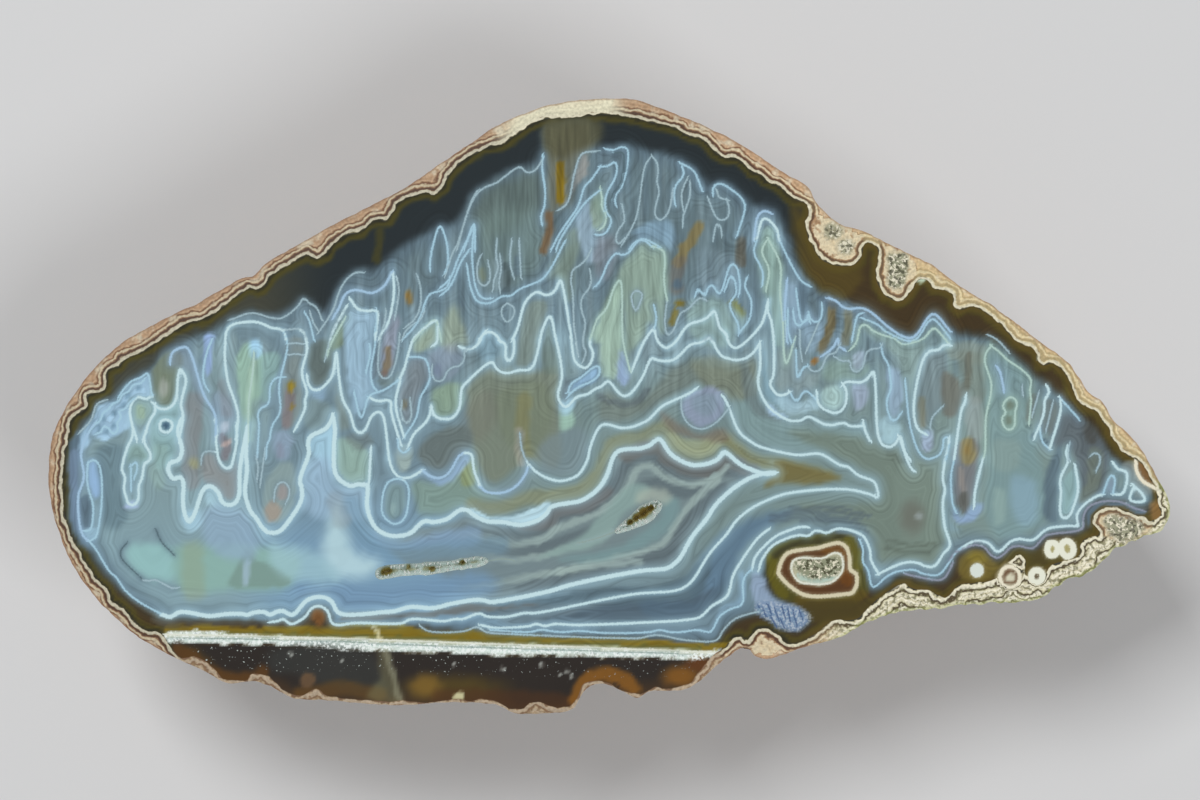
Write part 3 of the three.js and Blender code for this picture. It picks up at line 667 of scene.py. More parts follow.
# The right end: teal agate, a rusty tube, the dark far side, and the orbs along the lower edge
RIGHT_END_ROWS = """
patch 7d9ca0 10 0.7 990,352 1028,378 1028,420 1038,450 1044,520 1000,538 988,520 988,460
patch 8fa6a0 8 0.5 995,440 1020,445 1015,470 995,470
patch 8aabba 12 0.85 1012,478 1034,482 1036,520 1022,526 1012,505
patch 98b4ae 8 0.6 996,488 1004,490 1004,522 996,526
patch slate 5 0.8 1046,470 1056,450 1062,440 1060,470 1058,500 1058,522 1046,520 1044,495
patch 5a646a 10 0.9 1050,428 1062,413 1090,425 1105,445 1108,470 1100,492 1080,505 1078,470 1066,446
  1052,448
stroke 6f7a6c 4 6 0.7 1095,455 1094,480 1085,498
stroke 3f3c34 3 5 0.5 1088,428 1092,440
patch 8badae 4 0.9 1062,480 1074,470 1077,490 1070,512 1062,514 1062,495
patch 8aa89a 4 0.6 1005,401 1016,401 1015,412 1014,426 1004,427 1004,414
spot 6f7f72 3.5 5 0.4 1 1010,405
spot 6f7f72 3.5 4.5 0.4 1 1008,420
patch 9ca6a6 6 0.5 968,398 980,398 982,440 972,446 966,430
patch 74777a 5 0.95 956,445 976,440 978,462 972,500 966,512 956,505 953,480
patch 918659 5 0.85 962,440 972,438 975,458 966,464 960,452
spot 927438 3 6 0.6 0.5 967,450
stroke 96908a 1.2 3 0.7 960,470 962,490
stroke 55564e 4 4 0.7 963,498 964,508
patch 8fabd0 6 0.85 953,508 962,516 974,504 984,504 976,518 962,524 954,518
patch 7fa0b4 8 0.5 948,470 952,470 952,520 962,532 948,530 945,500
stroke 5c5850 2 4 0.6 1033,398 1030,418
stroke 5c5c54 3 4 0.7 1048,404 1044,428
stroke 60625c 2.5 3 0.6 1056,405 1050,430
spot 37474f 1.8 2.2 0.5 1 1042,440 1046,442 1029,427 1032,435
patch 8fa4b8 4 0.8 1106,490 1108,481 1112,477 1114,484 1112,494
patch 8f9a98 5 0.7 1122,465 1136,462 1146,484 1152,492 1140,498 1128,480
patch 7b5a34 3 0.95 1138,460 1143,464 1150,478 1154,486 1146,482 1140,474 1137,466
patch slate 4 1 1085,514 1092,506 1108,501 1128,504 1146,512 1140,514 1120,506 1100,508 1090,518 1090,528
patch 73652a 5 0.9 958,575 960,560 966,551 980,549 990,556 997,566 990,578 975,581
patch 8b7d2c 6 0.6 966,556 980,552 988,560 972,562
patch 51491c 5 0.7 1000,556 1018,549 1040,549 1050,540 1075,536 1082,534 1078,552 1050,562 1030,566
spot a8a068 7 7 0.3 1 1053,549 1067,549
spot cream 12.5 12.5 0.3 1 1010,577
spot cream 9 9 0.3 1 1037,577
spot 574a34 4.5 4.5 0.3 1 1037,577
spot 5f4028 8.5 8.5 0.25 1 1010,577
spot cream 5 5 0.4 1 1010,577
patch 8c6b3c 4 0.9 1150,503 1158,500 1164,512 1162,522 1152,518
"""

# The flat layers along the bottom, with a healed crack across them
GOLD_LAYER_ROWS = """
patch gold 2 1 165,627 250,627 300,626 330,625 345,624 400,624 430,632 470,630 500,633 560,637 640,639
  690,642 722,643 735,640 718,651 640,648 500,644 400,641 300,637 165,634
stroke 5d6030 1.4 2.5 0.8 168,633 300,636 400,639 500,643 600,646 700,649
patch 4c4334 3 0.6 150,618 170,620 300,622 335,628 400,628 300,626 200,626 165,628
spot 94591f 6.5 8.5 0.35 1 318,617
patch 433a30 3 0.35 306,624 310,614 318,608 326,613 330,626 318,629
"""
WHITE_LAYER = """165,634 300,638 400,642 500,645 560,647 600,648 650,650 690,651 722,652 716,657 690,660
650,658 600,657 560,655 500,655 450,652 400,651 340,649 300,645 200,643 170,642"""
CRYSTAL_LAYER_ROWS = """
stroke c3d2b4 1 1.5 0.8 168,635 300,638.5 400,642 500,645.5 600,648.5 700,651.5
patch smoke 2 1 172,643 200,644 300,647 340,650 400,652 450,653 500,656 560,656 600,658 650,659 690,661
  716,658 700,680 665,692 640,700 612,690 580,690 568,712 500,712 455,706 300,702 270,690 250,684 215,680
  180,660
"""
SMOKY_LAYER_ROWS = """
patch 343634 14 0.8 270,652 370,654 384,690 340,690 300,676 270,668
patch 43361c 12 0.9 176,648 200,650 220,672 250,680 225,684 190,662
stroke 5f3c14 3 7 0.75 178,650 196,660 214,673 250,679 262,672
stroke 6b4a1c 3 8 0.6 300,694 345,688 380,694
spot 5c4a18 45 12 0.7 0.7 455,688
spot 7f6226 15 11 0.7 0.85 425,686
spot 6a5138 7 8 0.3 0.85 308,680
stroke 4e2f16 5 9 0.6 440,698 520,700 568,704
stroke amber 4 6 0.85 576,700 580,688 590,678 606,674 622,678 634,688
spot amber 17 10 0.6 0.85 680,676
spot 6a3c14 14 7 0.6 0.8 700,664
patch 7c7a58 10 0.5 378,652 388,651 392,666 398,682 402,703 384,704 368,697 380,676
stroke 8f8f78 1.5 4 0.6 386,652 390,666 395,682 400,700
patch cfc89a 2 0.95 370,625 376,627 381,636 383,642 379,642 376,634
spot c9c49a 5 5 0.3 1 458,697
flecks 8 1 190,650 400,655 700,662 690,670 640,676 560,678 400,670 200,664
spot b4b8b2 1.8 2.2 0.5 0.8 291,654 342,660 453,665 541,664 559,675 566,671 571,676 503,669
"""

# The rusty inclusion at the lower right, the granular lumps of the crest and the bluish patch beside it
INCLUSION_ROWS = """
patch 9fb4d2 5 0.7 752,574 758,572 764,580 770,594 782,602 796,606 804,612 780,614 766,612 754,600
patch 7c92b0 4 0.9 756,603 780,603 800,608 813,617 806,624 798,630 780,628 768,620 756,612
frost 6 0.3 756,603 780,603 800,608 813,617 806,624 798,630 780,628 768,620 756,612
patch 4b4716 4 1 765,568 766,556 772,546 785,540 800,537 817,534 840,534 853,538 861,556 864,572 868,590
  855,604 840,609 820,609 800,605 785,600 775,592 768,580
stroke 6d6512 3 4 0.55 773,560 773,573 776,586 783,594
stroke 6b6318 3 4 0.6 850,540 856,551 858,566
stroke 38351a 1.5 3 0.8 776,556 786,547 800,543 820,541 840,536
stroke 5c4a14 3 5 0.7 800,600 825,603 850,600 862,594
patch 4a3f18 6 0.9 800,604 870,600 890,600 860,616 830,622 812,622 808,612
patch 57371a 1.5 1 778,573 782,560 788,553 800,550 817,548 829,545 839,543 846,547 849.5,558 850.5,570
  856,573.5 857,580 856,587 852,593 846,594 831,595 817,596.5 803.6,594.6 791,587 782.5,579
patch 6b4416 4 0.9 820,551 840,547 847,556 845,562 838,552 828,554
patch 6a4012 3 0.9 843,568 850,571 853,580 848,586 842,582 840,575
patch b7b799 2 1 791,568 793,561 800,558 818,558.5 824,558 834,553 840,554 843,562 842,572 838,577 832,582
  824,584 812,584 800,582 794,576
patch b4cbbf 3 1 795,573 810,577 826,576 838,574 832,582 818,584 802,582
speckle 4 1 795,560 820,560 838,557 841,568 830,578 802,576
speckle 4 0.9 825,226 833,222 841,227 841,236 832,239 825,235
speckle 4 0.9 838,242 846,238 854,243 853,252 845,254 838,250
speckle 4 1 1104,519 1111,515 1124,517 1139,522 1145,529 1134,540 1118,541 1108,531
patch 8b9a80 2 1 889,254 908,254 908,268 904,282 899,289 893,289 888,283 887,268
speckle 3 1 889,254 908,254 908,268 904,282 899,289 893,289 888,283 887,268
patch c3d6bd 2 1 914,268 922,270 926,280 918,283
patch 8f9a88 3 1 1040,351 1048,348 1050,356 1044,362 1038,358
"""


def rows_of(text, kinds):
    """The rows of a text: for each word that is one of the kinds, that word and those that follow it."""
    rows = []
    for word in text.split():
        if word in kinds:
            rows.append((word, []))
        else:
            rows[-1][1].append(word)
    return rows


def points_of(words):
    """The numbers of words such as "229,327", a row for each."""
    return np.array([[float(n) for n in word.split(",")] for word in words])


def path(text):
    """The points of a text such as "229,327 240,325"."""
    return points_of(text.split())


def on_face(px):
    """Picture pixels as metres in the plane of the face."""
    return (np.asarray(px) - CENTRE_PX) * (PX, -PX)


def to_px(xy):
    return np.asarray(xy) / (PX, -PX) + CENTRE_PX


def curve_through(points, step, closed=False):
    """Points at even steps along a centripetal Catmull-Rom curve; a closed one doesn't repeat its start."""
    p = np.asarray(points, float)
    if closed:
        p = np.vstack([p[-1:], p, p[:2]])
    else:
        p = np.vstack([2 * p[0] - p[1], p, 2 * p[-1] - p[-2]])
    drawn = []
    for p0, p1, p2, p3 in zip(p, p[1:], p[2:], p[3:]):
        t1 = math.dist(p0[:2], p1[:2]) ** 0.5
        t2 = t1 + math.dist(p1[:2], p2[:2]) ** 0.5
        t3 = t2 + math.dist(p2[:2], p3[:2]) ** 0.5
        count = max(2, math.ceil(2 * math.dist(p1[:2], p2[:2]) / step))
        t = np.linspace(t1, t2, count, endpoint=False)[:, None]
        a1 = p0 + (p1 - p0) * (t / t1)
        a2 = p1 + (p2 - p1) * ((t - t1) / (t2 - t1))
        a3 = p2 + (p3 - p2) * ((t - t2) / (t3 - t2))
        b1 = a1 + (a2 - a1) * (t / t2)
        b2 = a2 + (a3 - a2) * ((t - t1) / (t3 - t1))
        drawn.append(b1 + (b2 - b1) * ((t - t1) / (t2 - t1)))
    drawn = np.vstack(drawn + [p[-2:-1]])
    lengths = np.linalg.norm(np.diff(drawn[:, :2], axis=0), axis=1)
    along = np.concatenate([[0.0], np.cumsum(lengths)])
    count = max(2, round(along[-1] / step))
    at = np.linspace(0, along[-1], count + 1)[: count if closed else None]
    return np.column_stack([np.interp(at, along, column) for column in drawn.T])


def smoothstep(low, high, x):
    t = np.clip((np.asarray(x) - low) / (high - low), 0, 1)
    return t * t * (3 - 2 * t)


def within(px, text):
    """A share from 0 to 1 for each point, by spans of the picture such as "right 860,960 above 250,340".

    It grows over a span that has right or below before it, and fades over one that has left or above."""
    share = np.ones(len(px))
    for side, words in rows_of(text, SIDES):
        axis, fades = SIDES[side]
        step = smoothstep(*points_of(words)[0], px[:, axis])
        share *= 1 - step if fades else step
    return share


def scatter(*whole):
    """A repeatable value between 0 and 1 for each row of whole numbers."""
    s = np.sin(sum(n * k for n, k in zip(whole, (127.1, 311.7, 74.7, 53.3)))) * 43758.5453
    return s - np.floor(s)


def noise(points, across, seed=0):
    """Smooth noise from -1 to 1, with lumps of the given size, for points of two or three coordinates."""
    p = np.column_stack([points, np.zeros(len(points))])[:, :3] / across
    cell = np.floor(p)
    f = p - cell
    f = f * f * (3 - 2 * f)
    total = np.zeros(len(p))
    for corner in np.ndindex(2, 2, 2):
        weight = np.prod(np.where(corner, f, 1 - f), axis=1)
        total += weight * scatter(*(cell + corner).T, seed)
    return 2 * total - 1


class Distances:
    """How far the face's vertices are from the lines of one set, and on which side of them."""

    def __init__(self, points, reach):
        self.points = points
        self.reach = reach
        self.near = np.full(len(points), float(reach))
        self.side = np.ones(len(points))
        self.key = np.full(len(points), float(reach))

    def add(self, curve, piece=24):
        """Measures to a curve, in pieces, and says which vertices are nearest to it."""
        won = []
        for start in range(0, len(curve) - 1, piece):
            part = curve[start : start + piece + 1]
            low = part.min(0) - self.reach
            high = part.max(0) + self.reach
            inside = ((self.points > low) & (self.points < high)).all(1)
            index = np.flatnonzero(inside)
            if not len(index):
                continue
            a = part[:-1]
            ab = part[1:] - a
            squared = (ab**2).sum(1)
            to = self.points[index][:, None] - a
            share = np.clip((to * ab).sum(2) / squared, 0, 1)
            away = np.linalg.norm(to - share[..., None] * ab, axis=2)
            off = (ab[:, 0] * to[..., 1] - ab[:, 1] * to[..., 0]) / np.sqrt(squared)
            key = away - 0.01 * np.abs(off)
            best = key.argmin(1)
            rows = np.arange(len(index))
            closer = key[rows, best] < self.key[index]
            index = index[closer]
            rows = rows[closer]
            best = best[closer]
            self.key[index] = key[rows, best]
            self.near[index] = away[rows, best]
            self.side[index] = np.where(off[rows, best] > 0, 1, -1)
            won.append(index)
        return np.unique(np.concatenate(won)) if won else np.zeros(0, int)


def inside_of(points, loop):
    """Which points lie inside a closed loop."""
    inside = np.zeros(len(points), bool)
    x, y = points.T
    for (x0, y0), (x1, y1) in zip(loop, np.roll(loop, -1, axis=0)):
        if y0 == y1:
            continue
        crosses = (y0 > y) != (y1 > y)
        inside ^= crosses & (x < x0 + (x1 - x0) * (y - y0) / (y1 - y0))
    return inside


def depth_in(points, loop, reach):
    """Distance in from a closed loop, negative outside it, never past reach."""
    distances = Distances(points, reach)
    distances.add(np.vstack([loop, loop[:1]]))
    return np.where(inside_of(points, loop), distances.near, -distances.near)


# The outline of the stone and its pockets


def rim_px():
    """The outline as a fine closed curve, rougher where the rind is crumbly."""
    curve = curve_through(path(OUTLINE), 1.0, closed=True)
    out = np.roll(curve, -1, axis=0) - np.roll(curve, 1, axis=0)
    out = out[:, ::-1] * (1, -1) / np.linalg.norm(out, axis=1)[:, None]
    crumbly = within(curve, "right 820,900 below 500,540")
    rough = (0.5 + 1.3 * crumbly) * noise(curve, 5, 3) + (0.5 + 0.8 * crumbly) * noise(curve, 11, 4)
    return curve + out * rough[:, None]


def pocket_px(text):
    """A pocket's outline, from the points along its middle and its half-width there."""
    spine = curve_through(path(text), 3.0)
    along = np.gradient(spine[:, :2], axis=0)
    across = along[:, ::-1] * (-1, 1) / np.linalg.norm(along, axis=1)[:, None]
    half = spine[:, 2:] * (1 + 0.16 * noise(spine[:, :2], 6, 9)[:, None])
    sides = np.vstack([spine[:, :2] + across * half, (spine[:, :2] - across * half)[::-1]])
    return curve_through(sides, 1.2, closed=True)


# Mesh: the face as a fine sheet, and the dome of rings that hangs from its rim


def chains(edges):
    """The closed chains of vertices that open edges make, longest first."""
    at = {}
    for edge in edges:
        for vert in edge.verts:
            at.setdefault(vert, []).append(edge)
    seen = set()
    loops = []
    for edge in edges:
        if edge in seen:
            continue
        seen.add(edge)
        loop = [edge.verts[0]]
        vert = edge.verts[1]
        while vert is not loop[0]:
            loop.append(vert)
            edge = next(other for other in at[vert] if other not in seen)
            seen.add(edge)
            vert = edge.other_vert(vert)
        loops.append(loop)
    return sorted(loops, key=len, reverse=True)


def open_edges(bm):
    return [edge for edge in bm.edges if len(edge.link_faces) == 1]


def extruded(bm, loop):
    """A loop's edges drawn out to a new loop, whose vertices come back in the same order."""
    edges = [bm.edges.get(pair) for pair in zip(loop, loop[1:] + loop[:1])]
    made = bmesh.ops.extrude_edge_only(bm, edges=edges)["geom"]
    new = {part for part in made if isinstance(part, bmesh.types.BMVert)}
    return [next(e.other_vert(v) for e in v.link_edges if e.other_vert(v) in new) for v in loop]


def lay_on_curve(loop, inner, curve, count):
    """Puts a loop's vertices on a closed curve beside the inner loop, snapped to count even places."""
    at = to_px([vert.co[:2] for vert in inner])
    nearest = np.array([np.argmin(((curve - p) ** 2).sum(1)) for p in at]) / len(curve)
    step = (np.diff(nearest, append=nearest[0]) + 0.5) % 1 - 0.5
    turn = 1 if step.sum() > 0 else -1
    run = nearest[0] + np.concatenate([[0], np.cumsum(step)[:-1]])
    even = turn * np.arange(len(at)) / len(at)
    drift = run - even
    window = 7
    drift = sum(np.roll(drift, k) for k in range(-window, window + 1)) / (2 * window + 1)
    run = np.maximum.accumulate(turn * (even + drift)) * turn
    snapped = np.round(run * count) / count % 1
    index = snapped * len(curve)
    low = np.floor(index).astype(int)
    share = (index - low)[:, None]
    places = curve[low % len(curve)] * (1 - share) + curve[(low + 1) % len(curve)] * share
    for vert, (x, y) in zip(loop, on_face(places)):
        vert.co = (x, y, FACE_Z)


def grid_over(bm, low, high, cell, z):
    """A level grid between two corners, with cells of about the given size."""
    size = high - low
    cells = np.ceil(size / cell).astype(int)
    bmesh.ops.create_grid(bm, x_segments=int(cells[0]), y_segments=int(cells[1]), size=0.5)
    bmesh.ops.scale(bm, vec=(size[0], size[1], 1), verts=bm.verts)
    bmesh.ops.translate(bm, vec=(*(low + size / 2), z), verts=bm.verts)


def finished(bm, name):
    """The bmesh as a mesh of the given name."""
    mesh = bpy.data.meshes.new(name)
    bm.to_mesh(mesh)
    bm.free()
    return mesh


def face_sheet(bm, rim, pockets):
    """A grid trimmed to the outline and the pockets, with rings of faces that end exactly on them."""
    grid_over(bm, on_face(rim).min(0), on_face(rim).max(0), CELL, FACE_Z)
    at = to_px([vert.co[:2] for vert in bm.verts])
    margin = 0.9 * CELL / PX
    outside = depth_in(at, rim, 40) < margin
    for pocket in pockets:
        outside |= depth_in(at, pocket, 40) > -margin
    bmesh.ops.delete(bm, geom=[v for v, out in zip(list(bm.verts), outside) if out], context="VERTS")
    pinched = True
    while pinched:
        pinched = [v for v in bm.verts if sum(len(e.link_faces) == 1 for e in v.link_edges) != 2
                   and any(len(e.link_faces) < 2 for e in v.link_edges)]
        loose = [v for v in bm.verts if not v.link_faces]
        bmesh.ops.delete(bm, geom=pinched + [v for v in loose if v not in pinched], context="VERTS")
    loops = chains(open_edges(bm))
    curves = [(rim, RIM_POINTS)] + [(pocket, max(12, len(pocket) // 3)) for pocket in pockets]
    rings = []
    for loop in loops:
        middle = to_px([v.co[:2] for v in loop]).mean(0)
        if loop is loops[0]:
            curve, count = curves[0]
        else:
            curve, count = min(curves[1:], key=lambda c: math.dist(c[0].mean(0), middle))
        ring = extruded(bm, loop)
        lay_on_curve(ring, loop, curve, count)
        rings += ring
    bmesh.ops.remove_doubles(bm, verts=rings, dist=0.001 * MM)
    return chains(open_edges(bm))


def evened(loop, reach):
    """A closed loop of points, each drawn to the mean of its neighbours."""
    total = sum(np.roll(loop, k, axis=0) for k in range(-reach, reach + 1))
    return total / (2 * reach + 1)


def dome_guess(rim):
    """A smooth dome behind the rim, ring by ring, which drops to the flat spot."""
    behind = evened(rim, 16)
    belly = evened(evened(rim, 32), 32)
    bearing = np.arctan2(rim[:, 1] / (STONE[1].y - STONE[0].y), rim[:, 0] / (STONE[1].x - STONE[0].x))
    flat = np.column_stack([np.cos(bearing) * FLAT_SPOT[0] / 2, np.sin(bearing) * FLAT_SPOT[1] / 2])
    rings = []
    for slope in np.linspace(0, math.pi / 2, DOME_RINGS + 1):
        edge = rim + (behind - rim) * smoothstep(0, 0.2, slope)
        edge = edge + (belly - edge) * smoothstep(0.15, 0.7, slope)
        spread = math.cos(slope) ** 0.92 if slope < 1.57 else 0
        flat_share = flat + (edge - flat) * spread
        z = FACE_Z * (1 - math.sin(slope) ** 0.96)
        rings.append(np.column_stack([flat_share, np.full(len(rim), z)]))
    return np.array(rings)


def pits(points, across, seed):
    """How deep a point lies in scattered round pits, 0 to 1, one pit to each cell of the given size."""
    p = points / across
    cell = np.floor(p)
    depth = np.zeros(len(p))
    for offset in np.ndindex(3, 3, 3):
        corner = cell + offset - 1
        at = corner + np.column_stack([scatter(*corner.T, seed + k) for k in range(3)])
        radius = 0.25 + 0.35 * scatter(*corner.T, seed + 5)
        share = np.linalg.norm(p - at, axis=1) / radius
        depth = np.maximum(depth, np.clip(1 - share**2, 0, 1) ** 1.5)
    return depth


def dome_rings(rim):
    """The dome laid on the CAD stone, then given the fine lumps and pits of the rind."""
    rings = dome_guess(rim)
    tree = BVHTree.FromObject(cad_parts["half_nodule"], bpy.context.evaluated_depsgraph_get())
    slopes = np.linspace(0, math.pi / 2, DOME_RINGS + 1)
    for ring, slope in zip(rings, slopes):
        share = smoothstep(0.0, 0.2, slope) * (1 - smoothstep(1.5, 1.57, slope))
        for i, point in enumerate(ring):
            on_cad = np.array(tree.find_nearest(Vector(point))[0])
            ring[i] = point + (on_cad - point) * share
    for _ in range(2):
        around = (np.roll(rings, 1, axis=1) + np.roll(rings, -1, axis=1) + rings[:, :, :]) / 3
        rings[1:-1] = (around[:-2] + around[1:-1] * 2 + around[2:]) / 4
    around = np.roll(rings, -1, axis=1) - np.roll(rings, 1, axis=1)
    down = np.gradient(rings, axis=0)
    out = np.cross(down, around)
    out /= np.linalg.norm(out, axis=2)[..., None] + 1e-12
    middle = np.array([0, 0, FACE_Z * 0.7])
    out *= np.sign(((rings - middle) * out).sum(2))[..., None]
    flat = rings.reshape(-1, 3)
    rough = 0.34 * noise(flat, 4.2 * MM, 21) + 0.2 * noise(flat, 1.9 * MM, 22)
    rough -= 0.8 * pits(flat, 7 * MM, 31) + 0.4 * pits(flat, 3.1 * MM, 41)
    fade = smoothstep(0.0, 0.12, slopes) * (1 - smoothstep(1.3, 1.5, slopes))
    rings += out * (rough.reshape(rings.shape[:2]) * MM * fade[:, None])[..., None]
    rings[:-1, :, 2] = np.maximum(rings[:-1, :, 2], 0.04 * MM)
    return tucked_in(rings, rim)


def tucked_in(rings, rim):
    """Draws in what would show past the rim when the stone is seen from straight above."""
    around = np.roll(rim, -1, axis=0) - np.roll(rim, 1, axis=0)
    inward = around[:, ::-1] * (-1, 1) / np.linalg.norm(around, axis=1)[:, None]
    inward *= np.sign((-rim * inward).sum(1).mean())
    for number, ring in enumerate(rings[1:-1], 1):
        nearest = ((ring[:, None, :2] - rim) ** 2).sum(2).argmin(1)
        depth = ((ring[:, :2] - rim[nearest]) * inward[nearest]).sum(1)
        least = min(0.03 * number, 0.4) * MM
        ring[:, :2] += inward[nearest] * np.maximum(least - depth, 0)[:, None] * (depth < least)[:, None]
    return rings


def hang_dome(bm, loop):
    """Draws the rim down the dome, ring by ring, and closes it with the flat spot.

    Returns each of its vertices' column and ring, and the flat spot's face."""
    rings = dome_rings(np.array([vert.co[:2] for vert in loop]))
    placed = {vert: (column, 0) for column, vert in enumerate(loop)}
    for number, places in enumerate(rings[1:], 1):
        loop = extruded(bm, loop)
        for column, (vert, place) in enumerate(zip(loop, places)):
            vert.co = place
            placed[vert] = (column, number)
    return placed, closed_over(bm, loop)


def closed_over(bm, loop):
    """One face over a loop."""
    edges = [bm.edges.get(pair) for pair in zip(loop, loop[1:] + loop[:1])]
    return bmesh.ops.contextual_create(bm, geom=edges)["faces"][0]


def sink_pocket(bm, loop):
    """Draws a pocket's outline down to its floor in three steps, a little narrower each time."""
    middle = sum((vert.co for vert in loop), Vector()) / len(loop)
    for depth in (0.35, 0.7, 1.0):
        loop = extruded(bm, loop)
        for vert in loop:
            vert.co += (middle - vert.co) * 0.015
            vert.co.z = FACE_Z - POCKET_DEPTH * depth
    closed_over(bm, loop)


def paint_new(bm, slot, painted):
    """Gives a material slot to the faces that aren't painted yet."""
    for face in bm.faces:
        if face not in painted:
            face.material_index = slot
            face.smooth = True
            painted.add(face)


def stone_mesh():
    """The whole stone as one closed mesh, with materials 0 face, 1 rind, 2 pocket walls, and a UV map."""
    bm = bmesh.new()
    rim = rim_px()
    loops = face_sheet(bm, rim, [pocket_px(LONG_POCKET), pocket_px(SHORT_POCKET)])
    painted = set()
    paint_new(bm, 0, painted)
    dome, flat_spot = hang_dome(bm, loops[0])
    paint_new(bm, 1, painted)
    for loop in loops[1:]:
        sink_pocket(bm, loop)
    paint_new(bm, 2, painted)
    give_uv(bm, dome, flat_spot)
    bmesh.ops.recalc_face_normals(bm, faces=bm.faces)
    for edge in bm.edges:
        edge.smooth = len({face.material_index for face in edge.link_faces}) == 1
    return finished(bm, "half_nodule_fine")


def give_uv(bm, dome, flat_spot):
    """The face keeps its shape across the map's top; the rind is unrolled below it."""
    layer = bm.loops.layers.uv.new("OFBake")
    size = STONE[1] - STONE[0]
    scale = 0.99 / size.x
    columns = max(column for column, _ in dome.values()) + 1
    strip = 0.99 - size.y * scale - 0.015
    for face in bm.faces:
        if face is flat_spot:
            for corner in face.loops:
                corner[layer].uv = (0.09 + corner.vert.co.x * 4, 0.93 + corner.vert.co.y * 4)
        elif face.material_index == 1:
            around = [dome[corner.vert][0] for corner in face.loops]
            wraps = max(around) - min(around) > columns / 2
            for corner, column in zip(face.loops, around):
                column += columns if wraps and column < columns / 2 else 0
                u = 0.005 + 0.99 * column / columns
                v = 0.005 + strip * (1 - dome[corner.vert][1] / DOME_RINGS)
                corner[layer].uv = (u, v)
        else:
            for corner in face.loops:
                x, y, z = corner.vert.co - STONE[0]
                corner[layer].uv = (0.005 + x * scale, 0.995 - size.y * scale + y * scale)


# The crystals of the pockets


def crust_depth(px, outline, hollows):
    """How deep the crust lies below the face, in metres: a bowl, with deeper hollows."""
    inward = depth_in(px, outline, 30)
    depth = 0.25 * MM + np.clip(inward, 0, 9) * 0.17 * MM + 0.12 * MM * noise(px, 4, 71)
    for x, y, radius in hollows:
        depth += 0.8 * MM * (1 - smoothstep(0.5 * radius, 1.4 * radius, np.hypot(*(px - (x, y)).T)))
    return np.clip(depth, 0.12 * MM, POCKET_DEPTH - 0.2 * MM)


def crust_sheet(bm, outline, hollows):
    """The crust itself, as a sheet that ends just within the pocket's walls."""
    margin = 0.3 * MM
    grid_over(bm, on_face(outline).min(0) - margin, on_face(outline).max(0) + margin, CRUST_CELL, 0)
    at = to_px([vert.co[:2] for vert in bm.verts])
    for vert, depth in zip(bm.verts, crust_depth(at, outline, hollows)):
        vert.co.z = FACE_Z - depth
    gone = [vert for vert, inward in zip(list(bm.verts), depth_in(at, outline, 30)) if inward < -1.6]
    bmesh.ops.delete(bm, geom=gone, context="VERTS")


def grow_crystals(bm, outline, hollows, seed):
    """Six-sided points all over the crust, leaning in from the walls, with the hollows left bare."""
    low, high = outline.min(0), outline.max(0)
    columns, rows = np.ceil((high - low) / CRYSTAL_GAP).astype(int)
    cells = np.array(list(np.ndindex(columns, rows)))
    jitter = np.column_stack([scatter(*cells.T, seed), scatter(*cells.T, seed + 1)])
    px = low + (cells + jitter) * CRYSTAL_GAP
    inward = depth_in(px, outline, 30)
    lean = np.column_stack([depth_in(px + step, outline, 30) - inward for step in ((1, 0), (0, 1))])
    depth = crust_depth(px, outline, hollows)
    bare = np.min([np.hypot(*(px - (x, y)).T) / radius for x, y, radius in hollows], axis=0) < 0.9
    kept = scatter(*cells.T, seed + 6) < 0.92 - 0.7 * smoothstep(1.5, 4, inward)
    for n in np.flatnonzero((inward > 0.3) & kept & ~bare):
        girth = (0.15 + 0.13 * scatter(n, seed + 2)) * MM
        length = girth * (2.0 + 1.4 * scatter(n, seed + 3))
        axis = (lean[n, 0] + scatter(n, seed + 4) - 0.5, -lean[n, 1] + scatter(n, seed + 5) - 0.5, 1.1)
        turned = Vector(axis).to_track_quat("Z", "Y").to_matrix().to_4x4()
        x, y = on_face(px[n])
        top = FACE_Z - 0.05 * MM
        z = min(FACE_Z - depth[n] + 0.25 * length, top - 0.55 * length)
        grown = bmesh.ops.create_cone(bm, cap_ends=True, segments=6, radius1=girth, radius2=0.12 * girth,
                                      depth=length, matrix=Matrix.Translation((x, y, z)) @ turned)
        for face in {face for vert in grown["verts"] for face in vert.link_faces}:
            face.material_index = 1


def pocket_lining(name, spine, hollows, seed):
    """A pocket's crust and crystals as one mesh, with materials 0 crust and 1 crystals."""
    bm = bmesh.new()
    outline = pocket_px(spine)
    crust_sheet(bm, outline, hollows)
    for face in bm.faces:
        face.smooth = True
    grow_crystals(bm, outline, hollows, seed)
    return finished(bm, name)


# What is drawn on the face, worked out at its vertices


